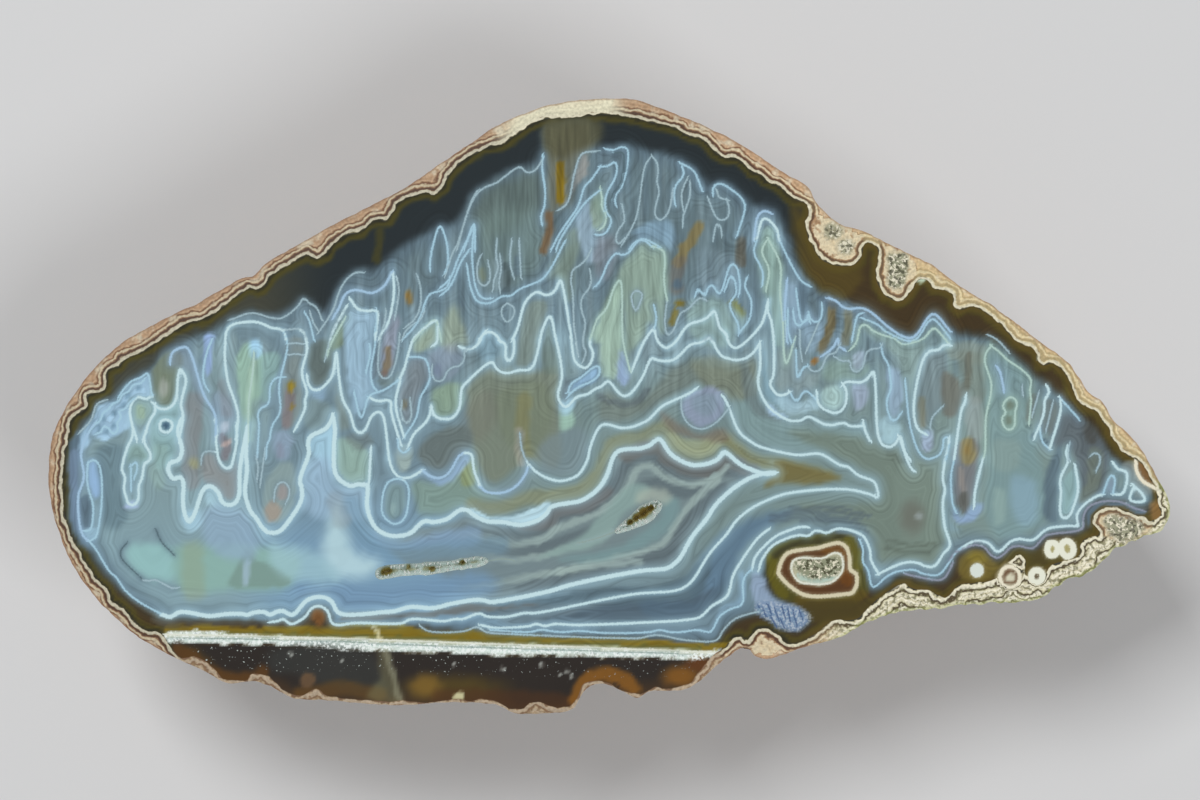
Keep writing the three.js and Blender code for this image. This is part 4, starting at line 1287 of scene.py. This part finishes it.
class Painting:
    """The colours and line distances of the face, one value for each vertex of the mesh."""

    def __init__(self, xy):
        self.px = to_px(xy)
        sway = np.column_stack([noise(self.px, 7, 11), noise(self.px, 7, 12)])
        self.swayed = self.px + 1.5 * sway
        self.ground = np.tile(srgb("steel"), (len(xy), 1))
        self.ink = np.tile(srgb("white"), (len(xy), 1))
        self.half_width = np.ones(len(xy))
        self.nearest = np.full(len(xy), 1e3)
        self.brushes = {"patch": self.patch, "stroke": self.stroke, "spot": self.spots}
        self.grains = {kind: np.zeros(len(xy)) for kind in ("frost", "flecks", "speckle")}
        self.lumps = np.zeros(len(xy))
        self.sets = [Distances(self.px, 12) for _ in range(LINE_SETS)]
        self.main_lines = Distances(self.px, BAND_REACH)

    def blend(self, colour, weight):
        weight = np.clip(weight, 0, 1)[:, None]
        self.ground += (srgb(colour) - self.ground) * weight

    def filled(self, points, soft):
        """How far each vertex is within a closed outline, 0 to 1, fading over soft pixels at its edge."""
        loop = curve_through(points, 3.0, closed=True)
        return smoothstep(-soft / 2, soft / 2, depth_in(self.swayed, loop, soft + 2))

    def paint(self, text, share=1.0):
        """Carries out a text's rows, each at its strength times the share."""
        for kind, words in rows_of(text, {**self.brushes, **self.grains}):
            points = points_of(word for word in words if "," in word)
            if kind in self.grains:
                soft, strength = map(float, words[:2])
                grains = self.grains[kind]
                np.maximum(grains, strength * self.filled(points, soft), out=grains)
            else:
                *sizes, strength = (float(word) for word in words[1:] if "," not in word)
                self.brushes[kind](words[0], *sizes, strength * share, points)

    def patch(self, colour, soft, strength, points):
        self.blend(colour, strength * self.filled(points, soft))

    def stroke(self, colour, half, soft, strength, points):
        """A brush stroke along a line, solid for its half-width and then fading over soft pixels."""
        distances = Distances(self.swayed, half + soft + 1)
        distances.add(curve_through(points, 3.0))
        self.blend(colour, strength * (1 - smoothstep(half, half + soft, distances.near)))

    def spots(self, colour, rx, ry, soft, strength, points):
        """An oval at each point, whose edge fades over a share of its radius."""
        for middle in points:
            away = np.hypot(*((self.swayed - middle) / (rx, ry)).T)
            self.blend(colour, strength * (1 - smoothstep(1 - soft, 1 + soft, away)))

    def line(self, style, curve):
        """A crisp line: its glow goes on the ground, and its distances into the set with most room."""
        colour, half, glow, reach = STYLES[style]
        if style in BAND_STYLES:
            self.main_lines.add(curve)
        room = [self.room(distances, curve) for distances in self.sets]
        distances = self.sets[int(np.argmax(room))]
        won = distances.add(curve)
        away = distances.near[won]
        weight = np.zeros(len(self.px))
        weight[won] = GLOW * np.exp(-np.maximum(away - half, 0) / reach)
        self.blend(glow, weight)
        closer = won[away < self.nearest[won]]
        self.nearest[closer] = distances.near[closer]
        self.ink[closer] = srgb(colour)
        self.half_width[closer] = half

    def room(self, distances, curve):
        """How far the lines already in a set are from this curve, at their closest."""
        low, high = curve.min(0) - 2, curve.max(0) + 2
        index = np.flatnonzero(((self.px > low) & (self.px < high)).all(1))
        if not len(index):
            return 0
        probe = Distances(self.px[index], 3)
        probe.add(curve)
        beside = index[probe.near < 3]
        return distances.near[beside].min() if len(beside) else 0


def srgb(colour):
    """A colour's three values, from its name in the palette or its hex value."""
    digits = PALETTE.get(colour, colour)
    return np.array([int(digits[i : i + 2], 16) for i in (0, 2, 4)]) / 255


def srgb_to_linear(colour):
    return np.where(colour <= 0.04045, colour / 12.92, ((colour + 0.055) / 1.055) ** 2.4)


def set_attribute(mesh, name, kind, values, index):
    """Gives the mesh an attribute, with values at some of its vertices and zeros at the rest."""
    key, width = {"FLOAT": ("value", 1), "FLOAT_VECTOR": ("vector", 3), "FLOAT_COLOR": ("color", 4)}[kind]
    whole = np.zeros((len(mesh.vertices), width), np.float32)
    whole[index] = np.reshape(values, (len(index), width))
    mesh.attributes.new(name, kind, "POINT").data.foreach_set(key, whole.ravel())


def paint_face(mesh):
    """Works the drawing out at the face's vertices, and stores it as attributes that the material reads."""
    places = np.empty(len(mesh.vertices) * 3, np.float32)
    mesh.vertices.foreach_get("co", places)
    places = places.reshape(-1, 3).astype(float)
    index = np.flatnonzero(places[:, 2] > FACE_Z - 1e-6)
    work = Painting(places[index, :2])
    draw_pale_agate(work)
    for text in (CREST_ROWS, LEFT_END_ROWS, MIDDLE_ROWS):
        work.paint(text)
    draw_chamber(work)
    work.paint(RIGHT_END_ROWS)
    draw_flat_layers(work)
    work.paint(INCLUSION_ROWS)
    for text in (LEFT_CREST_LINES, CREST_LINES, UPPER_LINES, MIDDLE_LEFT_LINES, MIDDLE_RIGHT_LINES,
                 LEFT_END_LINES, CHAMBER_LINES, RIGHT_END_LINES, INCLUSION_LINES):
        for style, words in rows_of(text, STYLES):
            work.line(style, curve_through(points_of(words), 2.0))
    set_attribute(mesh, "skin", "FLOAT_VECTOR", skin_values(work), index)
    set_attribute(mesh, "sparkle", "FLOAT_VECTOR", np.column_stack(list(work.grains.values())), index)
    set_attribute(mesh, "bands", "FLOAT_VECTOR", band_values(work), index)
    ground = np.column_stack([srgb_to_linear(work.ground), np.ones(len(index))])
    set_attribute(mesh, "ground", "FLOAT_COLOR", ground, index)
    ink = np.column_stack([srgb_to_linear(work.ink), work.half_width])
    set_attribute(mesh, "ink", "FLOAT_COLOR", ink, index)
    for number, distances in enumerate(work.sets):
        signed = distances.near * distances.side
        values = np.column_stack([signed, distances.near, np.zeros(len(index))])
        set_attribute(mesh, f"lines_{number}", "FLOAT_VECTOR", values, index)


CREST_LUMP = "812,212 826,216 848,226 864,236 864,250 856,262 838,264 822,256 812,238"
END_LUMP = "1090,518 1100,508 1118,506 1140,514 1153,522 1147,533 1120,540 1102,535"
RING_LUMP = "749,640 757,630 770,630 778,640 776,652 764,658 752,654"
TONGUE_LUMP = "876,246 900,246 916,262 912,284 903,298 890,298 878,284"
RIND_ORBS = ((1010, 577, 12.5), (1037, 577, 9))   # orbs that lie within the rind: x, y, radius
CRUMBLY_FROM = (1100, 505)   # the rind is crumbly below a line through here
CRUMBLY_SLOPE = 0.4
CREST_FOOT = 160             # the pale part of the crest's rind lies above this


def skin_values(work):
    """For the rind: how far out from its inner edge, how far in from the rim, and how crumbly it is."""
    swayed = work.px + 1.0 * np.column_stack([noise(work.px, 6, 51), noise(work.px, 6, 52)])
    outside = -depth_in(swayed, curve_through(path(SEAM), 2.0, closed=True), 40)
    from_rim = depth_in(work.px, rim_px(), 60)
    x, y = work.px.T
    below = y - CRUMBLY_FROM[1] - CRUMBLY_SLOPE * (CRUMBLY_FROM[0] - x)
    crumbly = smoothstep(-6, 6, below) * within(work.px, "right 800,850")
    crumbly = np.maximum(crumbly, within(work.px, "below 640,650 right 170,185 left 715,725"))
    for text in (CREST_LUMP, TONGUE_LUMP, RING_LUMP, END_LUMP):
        lump = work.filled(path(text), 3)
        outside = np.where(lump > 0.5, np.minimum(outside, 7.6), outside)
        crumbly *= 1 - lump
        work.lumps = np.maximum(work.lumps, lump)
    for centre_x, centre_y, radius in RIND_ORBS:
        away = np.hypot(x - centre_x, y - centre_y)
        outside += (-3 - outside) * (1 - smoothstep(radius - 1.5, radius + 1.5, away))
    return np.column_stack([outside, from_rim, crumbly])


def band_values(work):
    """How near the main lines are, how strongly the streaks show, and how yellow the rind is."""
    px = work.px
    hanging = work.pale * within(px, "above 330,470") * (0.35 + 0.65 * within(px, "right 330,380"))
    crest = within(px, "right 488,520 left 606,632") * (px[:, 1] < CREST_FOOT)
    warm = within(px, "right 780,880") * (1 - 0.8 * work.lumps) - 0.85 * crest
    return np.column_stack([work.main_lines.near, hanging, warm])


# Broad washes over the pale agate: the colour, its strength, and the spans of the picture that it covers
WASHES = (
    ("teal", 0.7, "right 860,960"),
    ("sage", 0.6, "below 300,420 right 420,520 above 520,620"),
    ("7ca0ba", 1.0, "below 470,560 left 430,620"),
    ("56686c", 0.58, "above 250,340"),
    ("teal", 0.7, "left 220,300"),
)
CREST_FOOT_ROWS = """
patch 5a4c1a 10 0.65 792,205 806,222 812,245 826,262 850,268 862,268 860,284 838,300 812,284 798,255
"""


def draw_pale_agate(work):
    """The grey-blue agate, the dark gap between it and the rind, and the streaks that hang down in it."""
    px = work.px
    for colour, strength, spans in WASHES:
        work.blend(colour, strength * within(px, spans))
    streak = noise(px / (1, 12), 5, 61) + 0.6 * noise(px / (1, 9), 2.9, 62)
    hanging = within(px, "above 330,480")
    work.blend("slate", 0.34 * hanging * smoothstep(0.05, 0.9, streak))
    work.blend("haze", 0.30 * hanging * smoothstep(0.05, 0.9, -streak))
    depth = depth_in(work.swayed, curve_through(path(PALE_AGATE), 3.0, closed=True), 40)
    work.blend("slate", 0.65 * (1 - smoothstep(0, 20, depth)))
    gap = 1 - smoothstep(-8, 5, depth)
    work.blend("navy", gap)
    work.pale = 1 - gap
    seam = depth_in(work.swayed, curve_through(path(SEAM), 2.0, closed=True), 40)
    right = within(px, "right 780,820")
    work.blend("4b4a3a", 0.75 * gap * within(px, "left 250,340"))
    work.blend("umber", gap * np.maximum(right, within(px, "below 560,600")))
    work.blend("olive_brown", 0.85 * gap * (1 - smoothstep(4, 9, seam)))
    work.blend("olive_black", gap * (1 - smoothstep(0.5, 3, seam)) * (1 - 0.8 * right))
    work.blend("6a5320", 0.5 * (1 - smoothstep(1, 6, seam)) * right)
    work.paint(CREST_FOOT_ROWS)


def draw_chamber(work):
    """Within the bold line: grey bands round the two pockets, which fade out to the left."""
    fade = within(work.px, "right 440,560")
    work.paint(CHAMBER_ROWS)
    work.paint(CHAMBER_DARK_BANDS, fade)
    work.paint(CHAMBER_BROWN_BANDS)
    work.paint(CHAMBER_PALE_BANDS, fade)
    work.paint(POCKET_ROWS)


def draw_flat_layers(work):
    """The flat layers along the bottom: gold, white crystal, and smoky brown, redder near the rim."""
    work.paint(GOLD_LAYER_ROWS)
    white = work.filled(path(WHITE_LAYER), 2)
    work.blend("dceae2", white)
    np.maximum(work.grains["frost"], white, out=work.grains["frost"])
    work.paint(CRYSTAL_LAYER_ROWS)
    near_rim = 1 - smoothstep(3, 16, depth_in(work.swayed, rim_px(), 30))
    work.blend("63401a", 0.35 * near_rim * within(work.px, "below 650,656 left 690,720"))
    work.paint(SMOKY_LAYER_ROWS)


# Materials


def add(tree, kind, inputs=(), **settings):
    """Adds a node with its settings. Its inputs, by place or name, are sockets to link or values to set."""
    made = tree.nodes.new(kind)
    for name, value in settings.items():
        setattr(made, name, value)
    for key, value in inputs.items() if isinstance(inputs, dict) else enumerate(inputs):
        if isinstance(value, bpy.types.NodeSocket):
            tree.links.new(value, made.inputs[key])
        elif value is not None:
            made.inputs[key].default_value = value
    return made


def new_material(name):
    """A new material, with its node tree, its shader and its Object coordinates in metres."""
    material = bpy.data.materials.new(name)
    material.use_nodes = True
    tree = material.node_tree
    place = add(tree, "ShaderNodeTexCoord").outputs["Object"]
    return material, tree, tree.nodes["Principled BSDF"], place


def rgba(colour):
    return (*srgb_to_linear(srgb(colour)), 1.0)


def set_ramp(ramp_node, stops):
    """Gives a colour ramp its stops, as (place, hex colour)."""
    elements = ramp_node.color_ramp.elements
    while len(elements) < len(stops):
        elements.new(0.5)
    for element, (place, colour) in zip(elements, stops):
        element.position = place
        element.color = rgba(colour)


RIND_BANDS = [(0.0, "olive_black"), (0.03, "6b6238"), (0.07, "e2dcc2"), (0.2, "cfcab0"), (0.24, "7d5a36"),
              (0.28, "4a2a14"), (0.35, "5f3b1e"), (0.41, "a98560"), (0.45, "ddd0b0"), (0.53, "d8c6a2"),
              (0.58, "76492a"), (0.63, "926a44"), (0.7, "salmon"), (0.84, "bb9570"), (1.0, "salmon")]
CRUMBLY_BANDS = [(0.0, "olive_black"), (0.05, "c9c29c"), (0.1, "bone"), (0.24, "cream"), (0.3, "4a3a1c"),
                 (0.38, "4f4222"), (0.46, "d5cfac"), (0.62, "f1ecd6"), (0.74, "b9b088"), (0.8, "6b6638"),
                 (0.88, "a8a276"), (1.0, "e6e0c4")]
RIND_REACH = 16    # pixels from the rind's inner edge to the ramps' far end


def mixed(tree, share, first, second):
    """One colour over another, by a share between 0 and 1; both are sockets or hex colours."""
    first, second = (rgba(colour) if isinstance(colour, str) else colour for colour in (first, second))
    return add(tree, "ShaderNodeMix", {0: share, 6: first, 7: second}, data_type="RGBA").outputs[2]


def worked(tree, operation, *values):
    """A sum, product or other maths operation on sockets and numbers."""
    return add(tree, "ShaderNodeMath", values, operation=operation).outputs[0]


def stepped(tree, value, low, high, first=0.0, last=1.0):
    """A smooth step of a value, from first at low to last at high."""
    return add(tree, "ShaderNodeMapRange", [value, low, high, first, last],
               interpolation_type="SMOOTHSTEP").outputs[0]


def grains(tree, place, size, detail=2.0):
    """Noise with lumps of about the given size in metres."""
    inputs = {"Vector": place, "Scale": 1 / size, "Detail": detail}
    return add(tree, "ShaderNodeTexNoise", inputs).outputs[0]


def swayed(tree, value, noise_socket, reach):
    """A value moved up or down by noise, by up to about the given reach."""
    return worked(tree, "ADD", value, worked(tree, "MULTIPLY_ADD", noise_socket, 4 * reach, -2 * reach))


def parts_of(tree, name):
    """The three values that a vector attribute of the face holds."""
    vector = add(tree, "ShaderNodeAttribute", attribute_name=name).outputs["Vector"]
    return add(tree, "ShaderNodeSeparateXYZ", [vector]).outputs


def shaded(tree, colour, value):
    """A colour made lighter or darker by a factor."""
    return add(tree, "ShaderNodeHueSaturation", {"Color": colour, "Value": value}).outputs[0]


def line_mask(tree, place, half_width):
    """Where the drawn lines are, from the distances to them in each set, with a slightly feathered edge."""
    total = None
    feather = grains(tree, place, 0.2 * MM)
    for number in range(LINE_SETS):
        parts = parts_of(tree, f"lines_{number}")
        off = worked(tree, "SUBTRACT", worked(tree, "ABSOLUTE", parts[0]), half_width)
        off = swayed(tree, off, feather, 0.6)
        away = worked(tree, "SUBTRACT", parts[1], half_width)
        there = add(tree, "ShaderNodeMapRange", [away, 1.6, 2.6, 1.0, 0.0]).outputs[0]
        mask = worked(tree, "MULTIPLY", stepped(tree, off, -0.9, 0.9, 1.0, 0.0), there)
        total = worked(tree, "MAXIMUM", total, mask) if total else mask
    return total


def banded(tree, place, colour, near):
    """Fine bands of the agate, 0.3 to 0.6 mm apart, that follow the main lines and fade away from them."""
    slow = worked(tree, "MULTIPLY", grains(tree, place, 9 * MM, 1.0), 9.0)
    at = worked(tree, "ADD", worked(tree, "DIVIDE", near, 4.6), slow)
    inputs = {"W": at, "Scale": 1.0, "Detail": 2.0}
    band = add(tree, "ShaderNodeTexNoise", inputs, noise_dimensions="1D").outputs[0]
    swing = add(tree, "ShaderNodeMapRange", [band, 0.3, 0.7, -BAND_STRENGTH, BAND_STRENGTH]).outputs[0]
    fade = stepped(tree, near, 6, BAND_REACH, 1.0, 0.2)
    patchy = stepped(tree, grains(tree, place, 5 * MM, 1.0), 0.35, 0.6, 0.35, 1.1)
    fade = worked(tree, "MULTIPLY", fade, patchy)
    return shaded(tree, colour, worked(tree, "MULTIPLY_ADD", swing, fade, 1.0))


def streaked(tree, place, colour, hanging):
    """Thin upright streaks, where stalactites of chalcedony hang down into the agate."""
    drawn_out = add(tree, "ShaderNodeVectorMath", [place, (1.0, 0.09, 1.0)], operation="MULTIPLY")
    streak = grains(tree, drawn_out.outputs[0], 0.55 * MM, 2.0)
    swing = add(tree, "ShaderNodeMapRange", [streak, 0.3, 0.7, -0.22, 0.22]).outputs[0]
    return shaded(tree, colour, worked(tree, "MULTIPLY_ADD", swing, hanging, 1.0))


def rind_colour(tree, place, outside, from_rim, crumbly, warm):
    """The rind on the cut face: its bands where it is smooth, and its crumbs and specks where it isn't."""
    wave = grains(tree, place, 1.1 * MM, 3.0)
    at = worked(tree, "DIVIDE", swayed(tree, outside, wave, 1.6), RIND_REACH)
    bands = add(tree, "ShaderNodeValToRGB", [at])
    set_ramp(bands, RIND_BANDS)
    yellow = worked(tree, "MULTIPLY", worked(tree, "MAXIMUM", warm, 0.0), 0.5)
    smooth = mixed(tree, yellow, bands.outputs[0], "e0d09a")
    smooth = mixed(tree, stepped(tree, outside, 2.2, 3.6, 1.0, 0.0), smooth, bands.outputs[0])
    pale = stepped(tree, grains(tree, place, 1.6 * MM, 3.0), 0.5, 0.68, 0.0, 0.75)
    pale = worked(tree, "MULTIPLY", pale, stepped(tree, outside, 7.5, 9.5))
    smooth = mixed(tree, pale, smooth, "e6dcc0")
    crest = worked(tree, "MULTIPLY", worked(tree, "MULTIPLY", warm, -1.0), stepped(tree, outside, 2.5, 3.5))
    smooth = mixed(tree, worked(tree, "MAXIMUM", crest, 0.0), smooth, "e2dfc2")
    edge = stepped(tree, swayed(tree, from_rim, wave, 0.8), 0.6, 2.4, 0.6, 0.0)
    smooth = mixed(tree, worked(tree, "MULTIPLY", edge, stepped(tree, outside, 4, 6)), smooth, "8f6a4e")
    broad = grains(tree, place, 1.7 * MM, 3.0)
    at = swayed(tree, swayed(tree, outside, broad, 2.8), grains(tree, place, 0.6 * MM, 3.0), 1.7)
    at = worked(tree, "DIVIDE", at, RIND_REACH)
    at = worked(tree, "MINIMUM", at, worked(tree, "PINGPONG", worked(tree, "ADD", at, 0.35), 0.9))
    lumps = add(tree, "ShaderNodeValToRGB", [at])
    set_ramp(lumps, CRUMBLY_BANDS)
    dirt = stepped(tree, grains(tree, place, 0.5 * MM, 4.0), 0.5, 0.6, 0.0, 0.75)
    dirt = worked(tree, "MULTIPLY", dirt, stepped(tree, outside, 3, 6))
    crumbs = mixed(tree, dirt, lumps.outputs[0], "66633a")
    mossy = stepped(tree, swayed(tree, from_rim, wave, 1.6), 0.5, 4.0, 0.5, 0.0)
    crumbs = mixed(tree, worked(tree, "MULTIPLY", mossy, stepped(tree, warm, 0.1, 0.6)), crumbs, "9fa85e")
    crumbs = mixed(tree, stepped(tree, warm, 0.1, 0.6, 0.6, 0.0), crumbs, "a8805f")
    colour = mixed(tree, crumbly, smooth, crumbs)
    fine = grains(tree, place, 0.35 * MM, 3.0)
    mottled = add(tree, "ShaderNodeMapRange", [fine, 0.3, 0.7, 0.8, 1.2]).outputs[0]
    along = add(tree, "ShaderNodeSeparateXYZ", [place]).outputs[0]
    duller = stepped(tree, along, 0.0, 30 * MM, 0.77, 1.0)
    duller = worked(tree, "MULTIPLY_ADD", worked(tree, "MINIMUM", warm, 0.0), -0.26, duller)
    return shaded(tree, colour, worked(tree, "MULTIPLY", mottled, duller))


def speckled(tree, place, colour, speckle):
    """Grey-green with white and dark olive grains, 0.2 to 0.4 mm wide, over the parts that are granular."""
    colour = mixed(tree, worked(tree, "MULTIPLY", speckle, 0.85), colour, "868b72")
    white = stepped(tree, grains(tree, place, 0.36 * MM, 3.0), 0.5, 0.57, 0.0, 0.9)
    dark = stepped(tree, grains(tree, place, 0.5 * MM, 3.0), 0.52, 0.58, 0.0, 0.85)
    colour = mixed(tree, worked(tree, "MULTIPLY", white, speckle), colour, "bone")
    return mixed(tree, worked(tree, "MULTIPLY", dark, speckle), colour, "3d3c22")


def frosted(tree, place, colour, frost, flecks):
    """Bright and grey grains over crystalline parts, and pale flecks in the smoky layer."""
    bright = stepped(tree, grains(tree, place, 0.3 * MM, 3.0), 0.45, 0.6)
    colour = mixed(tree, worked(tree, "MULTIPLY", bright, frost), colour, "f4fbf8")
    shade = stepped(tree, grains(tree, place, 0.33 * MM, 3.0), 0.58, 0.68, 0.0, 0.5)
    colour = mixed(tree, worked(tree, "MULTIPLY", shade, frost), colour, "64757a")
    dots = stepped(tree, grains(tree, place, 0.34 * MM, 2.0), 0.66, 0.71)
    return mixed(tree, worked(tree, "MULTIPLY", dots, flecks), colour, "b4bdb8")


def polished_chalcedony():
    """Chalcedony, sawn and polished: a hard glassy gloss over the drawn bands and lines."""
    material, tree, shader, place = new_material("polished_chalcedony")
    ground = add(tree, "ShaderNodeAttribute", attribute_name="ground").outputs["Color"]
    ink = add(tree, "ShaderNodeAttribute", attribute_name="ink")
    outside, from_rim, crumbly = parts_of(tree, "skin")
    frost, flecks, speckle = parts_of(tree, "sparkle")
    near, hanging, warm = parts_of(tree, "bands")
    ground = banded(tree, place, ground, near)
    ground = streaked(tree, place, ground, hanging)
    ground = frosted(tree, place, ground, frost, flecks)
    ground = speckled(tree, place, ground, speckle)
    colour = mixed(tree, line_mask(tree, place, ink.outputs["Alpha"]), ground, ink.outputs["Color"])
    in_rind = stepped(tree, outside, -0.6, 0.6)
    colour = mixed(tree, in_rind, colour, rind_colour(tree, place, outside, from_rim, crumbly, warm))
    colour = speckled(tree, place, colour, worked(tree, "MULTIPLY", in_rind, speckle))
    tree.links.new(colour, shader.inputs["Base Color"])
    gloss = add(tree, "ShaderNodeMapRange", [in_rind, 0.0, 1.0, 0.14, 0.35]).outputs[0]
    tree.links.new(gloss, shader.inputs["Roughness"])
    shader.inputs["IOR"].default_value = 1.54
    return material


def weathered_rind():
    """Rind that weathered in the ground: dull, tan to rusty brown, pale where worn, with warts and pits."""
    material, tree, shader, place = new_material("weathered_rind")
    inputs = {"Vector": place, "Scale": 1 / (11 * MM), "Detail": 9, "Roughness": 0.68}
    broad = add(tree, "ShaderNodeTexNoise", inputs)
    tint = add(tree, "ShaderNodeValToRGB", [broad.outputs[0]])
    set_ramp(tint, [(0.3, "5f3d24"), (0.42, "95704c"), (0.5, "tan"), (0.58, "cfa98a"), (0.68, "d8cdb0")])
    bent = add(tree, "ShaderNodeTexNoise", {"Vector": place, "Scale": 1 / (1.5 * MM)}).outputs["Color"]
    inputs = [bent, (1.2 * MM, 1.2 * MM, 1.2 * MM), place]
    bent = add(tree, "ShaderNodeVectorMath", inputs, operation="MULTIPLY_ADD")
    cells = add(tree, "ShaderNodeTexVoronoi", {"Vector": bent.outputs[0], "Scale": 1 / (2.1 * MM)})
    pitted = stepped(tree, grains(tree, place, 6 * MM), 0.42, 0.58, 0.15, 1.0)
    pit = worked(tree, "MULTIPLY", stepped(tree, cells.outputs["Distance"], 0.1, 0.45, 1.0, 0.0), pitted)
    warts = grains(tree, place, 1.4 * MM, 5.0)
    colour = mixed(tree, stepped(tree, warts, 0.52, 0.66, 0.0, 0.55), tint.outputs[0], "e0d0b2")
    colour = mixed(tree, stepped(tree, warts, 0.34, 0.46, 0.6, 0.0), colour, "6a4a30")
    colour = mixed(tree, worked(tree, "MULTIPLY", pit, 0.55), colour, "4b3120")
    specks = stepped(tree, grains(tree, place, 0.4 * MM, 3.0), 0.57, 0.64, 0.0, 0.65)
    colour = mixed(tree, specks, colour, "3d2a1c")
    height = worked(tree, "MULTIPLY_ADD", pit, -0.7, worked(tree, "MULTIPLY", warts, 2.0))
    height = worked(tree, "MULTIPLY_ADD", grains(tree, place, 0.45 * MM, 3.0), 0.5, height)
    bump = add(tree, "ShaderNodeBump", {"Height": height, "Distance": 0.45 * MM, "Strength": 0.9})
    tree.links.new(colour, shader.inputs["Base Color"])
    tree.links.new(bump.outputs[0], shader.inputs["Normal"])
    shader.inputs["Roughness"].default_value = 0.85
    shader.inputs["IOR"].default_value = 1.5
    return material


def druse_quartz():
    """Small quartz crystals as they grew: clear to milky, with glassy flat faces."""
    material, _, shader, _ = new_material("druse_quartz")
    shader.inputs["Base Color"].default_value = rgba("f2f6f2")
    shader.inputs["Roughness"].default_value = 0.1
    shader.inputs["IOR"].default_value = 1.544
    shader.inputs["Transmission Weight"].default_value = 0.25
    return material


def pocket_crust():
    """The milky crust under the crystals, olive-brown with iron stains where it is deep."""
    material, tree, shader, place = new_material("stained_pocket_crust")
    height = add(tree, "ShaderNodeSeparateXYZ", [place]).outputs[2]
    shallow = stepped(tree, height, FACE_Z - 2.2 * MM, FACE_Z - 0.5 * MM)
    shallow = swayed(tree, shallow, grains(tree, place, 0.4 * MM), 0.12)
    stain = add(tree, "ShaderNodeValToRGB", [shallow])
    set_ramp(stain, [(0.0, "8f7a3c"), (0.35, "9a915a"), (0.6, "9ba184"), (0.8, "a9b8b0"), (1.0, "c6d6d2")])
    tree.links.new(stain.outputs[0], shader.inputs["Base Color"])
    shader.inputs["Roughness"].default_value = 0.45
    shader.inputs["IOR"].default_value = 1.54
    return material


# Pieces


def shown(name, data):
    """A new object in the scene, for a mesh, a light or a camera."""
    made = bpy.data.objects.new(name, data)
    bpy.context.scene.collection.objects.link(made)
    return made


def new_piece(name, mesh, materials, replaced):
    for material in materials:
        mesh.materials.append(material)
    piece = shown(name, mesh)
    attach(piece, "root")
    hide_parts(replaced)
    return piece


# Floor, light and camera


def floor():
    """A plain pale floor, far larger than the view."""
    bm = bmesh.new()
    bmesh.ops.create_grid(bm, x_segments=1, y_segments=1, size=3.0)
    bmesh.ops.translate(bm, vec=(0, 0, -0.05 * MM), verts=bm.verts)
    mesh = finished(bm, "floor")
    material, _, shader, _ = new_material("pale_floor")
    shader.inputs["Base Color"].default_value = rgba("d9dadb")
    shader.inputs["Roughness"].default_value = 0.9
    mesh.materials.append(material)
    piece = shown("floor", mesh)


def softbox(name, place, size, watts):
    """A square light at a place, turned to the stone."""
    data = bpy.data.lights.new(name, "AREA")
    data.size = size
    data.energy = watts
    light = shown(name, data)
    light.location = place
    light.rotation_euler = (Vector((0, 0, FACE_Z)) - light.location).to_track_quat("-Z", "Y").to_euler()


def lights():
    softbox("key", (-0.30, 0.42, 0.97), 0.35, 6.0)
    softbox("fill", (0.45, -0.37, 0.93), 0.4, 3.5)
    world = bpy.data.worlds.new("studio")
    bpy.context.scene.world = world
    world.use_nodes = True
    back = world.node_tree.nodes["Background"]
    back.inputs["Color"].default_value = (1, 1, 1, 1)
    back.inputs["Strength"].default_value = 0.25


def camera():
    """Looks straight down at the face, as the photograph does, with the photograph's frame."""
    away = 0.5
    data = bpy.data.cameras.new("camera")
    data.lens = data.sensor_width * away / (PICTURE_PX[0] * PX)
    eye = shown("camera", data)
    x, y = on_face((PICTURE_PX[0] / 2, PICTURE_PX[1] / 2))
    eye.location = (x, y, FACE_Z + away)
    bpy.context.scene.camera = eye


stone_data = stone_mesh()
paint_face(stone_data)
new_piece("polished_half_nodule", stone_data,
          [polished_chalcedony(), weathered_rind(), pocket_crust()], "half_nodule")
lining = [pocket_crust(), druse_quartz()]
POCKETS = (("long", LONG_POCKET, LONG_HOLLOWS, 81), ("short", SHORT_POCKET, SHORT_HOLLOWS, 91))
for size, spine, hollows, seed in POCKETS:
    druse = pocket_lining(f"{size}_pocket_druse", spine, hollows, seed)
    new_piece(druse.name, druse, lining, f"{size}_pocket_crystals")
floor()
lights()
camera()
bpy.context.scene.view_settings.view_transform = "Standard"
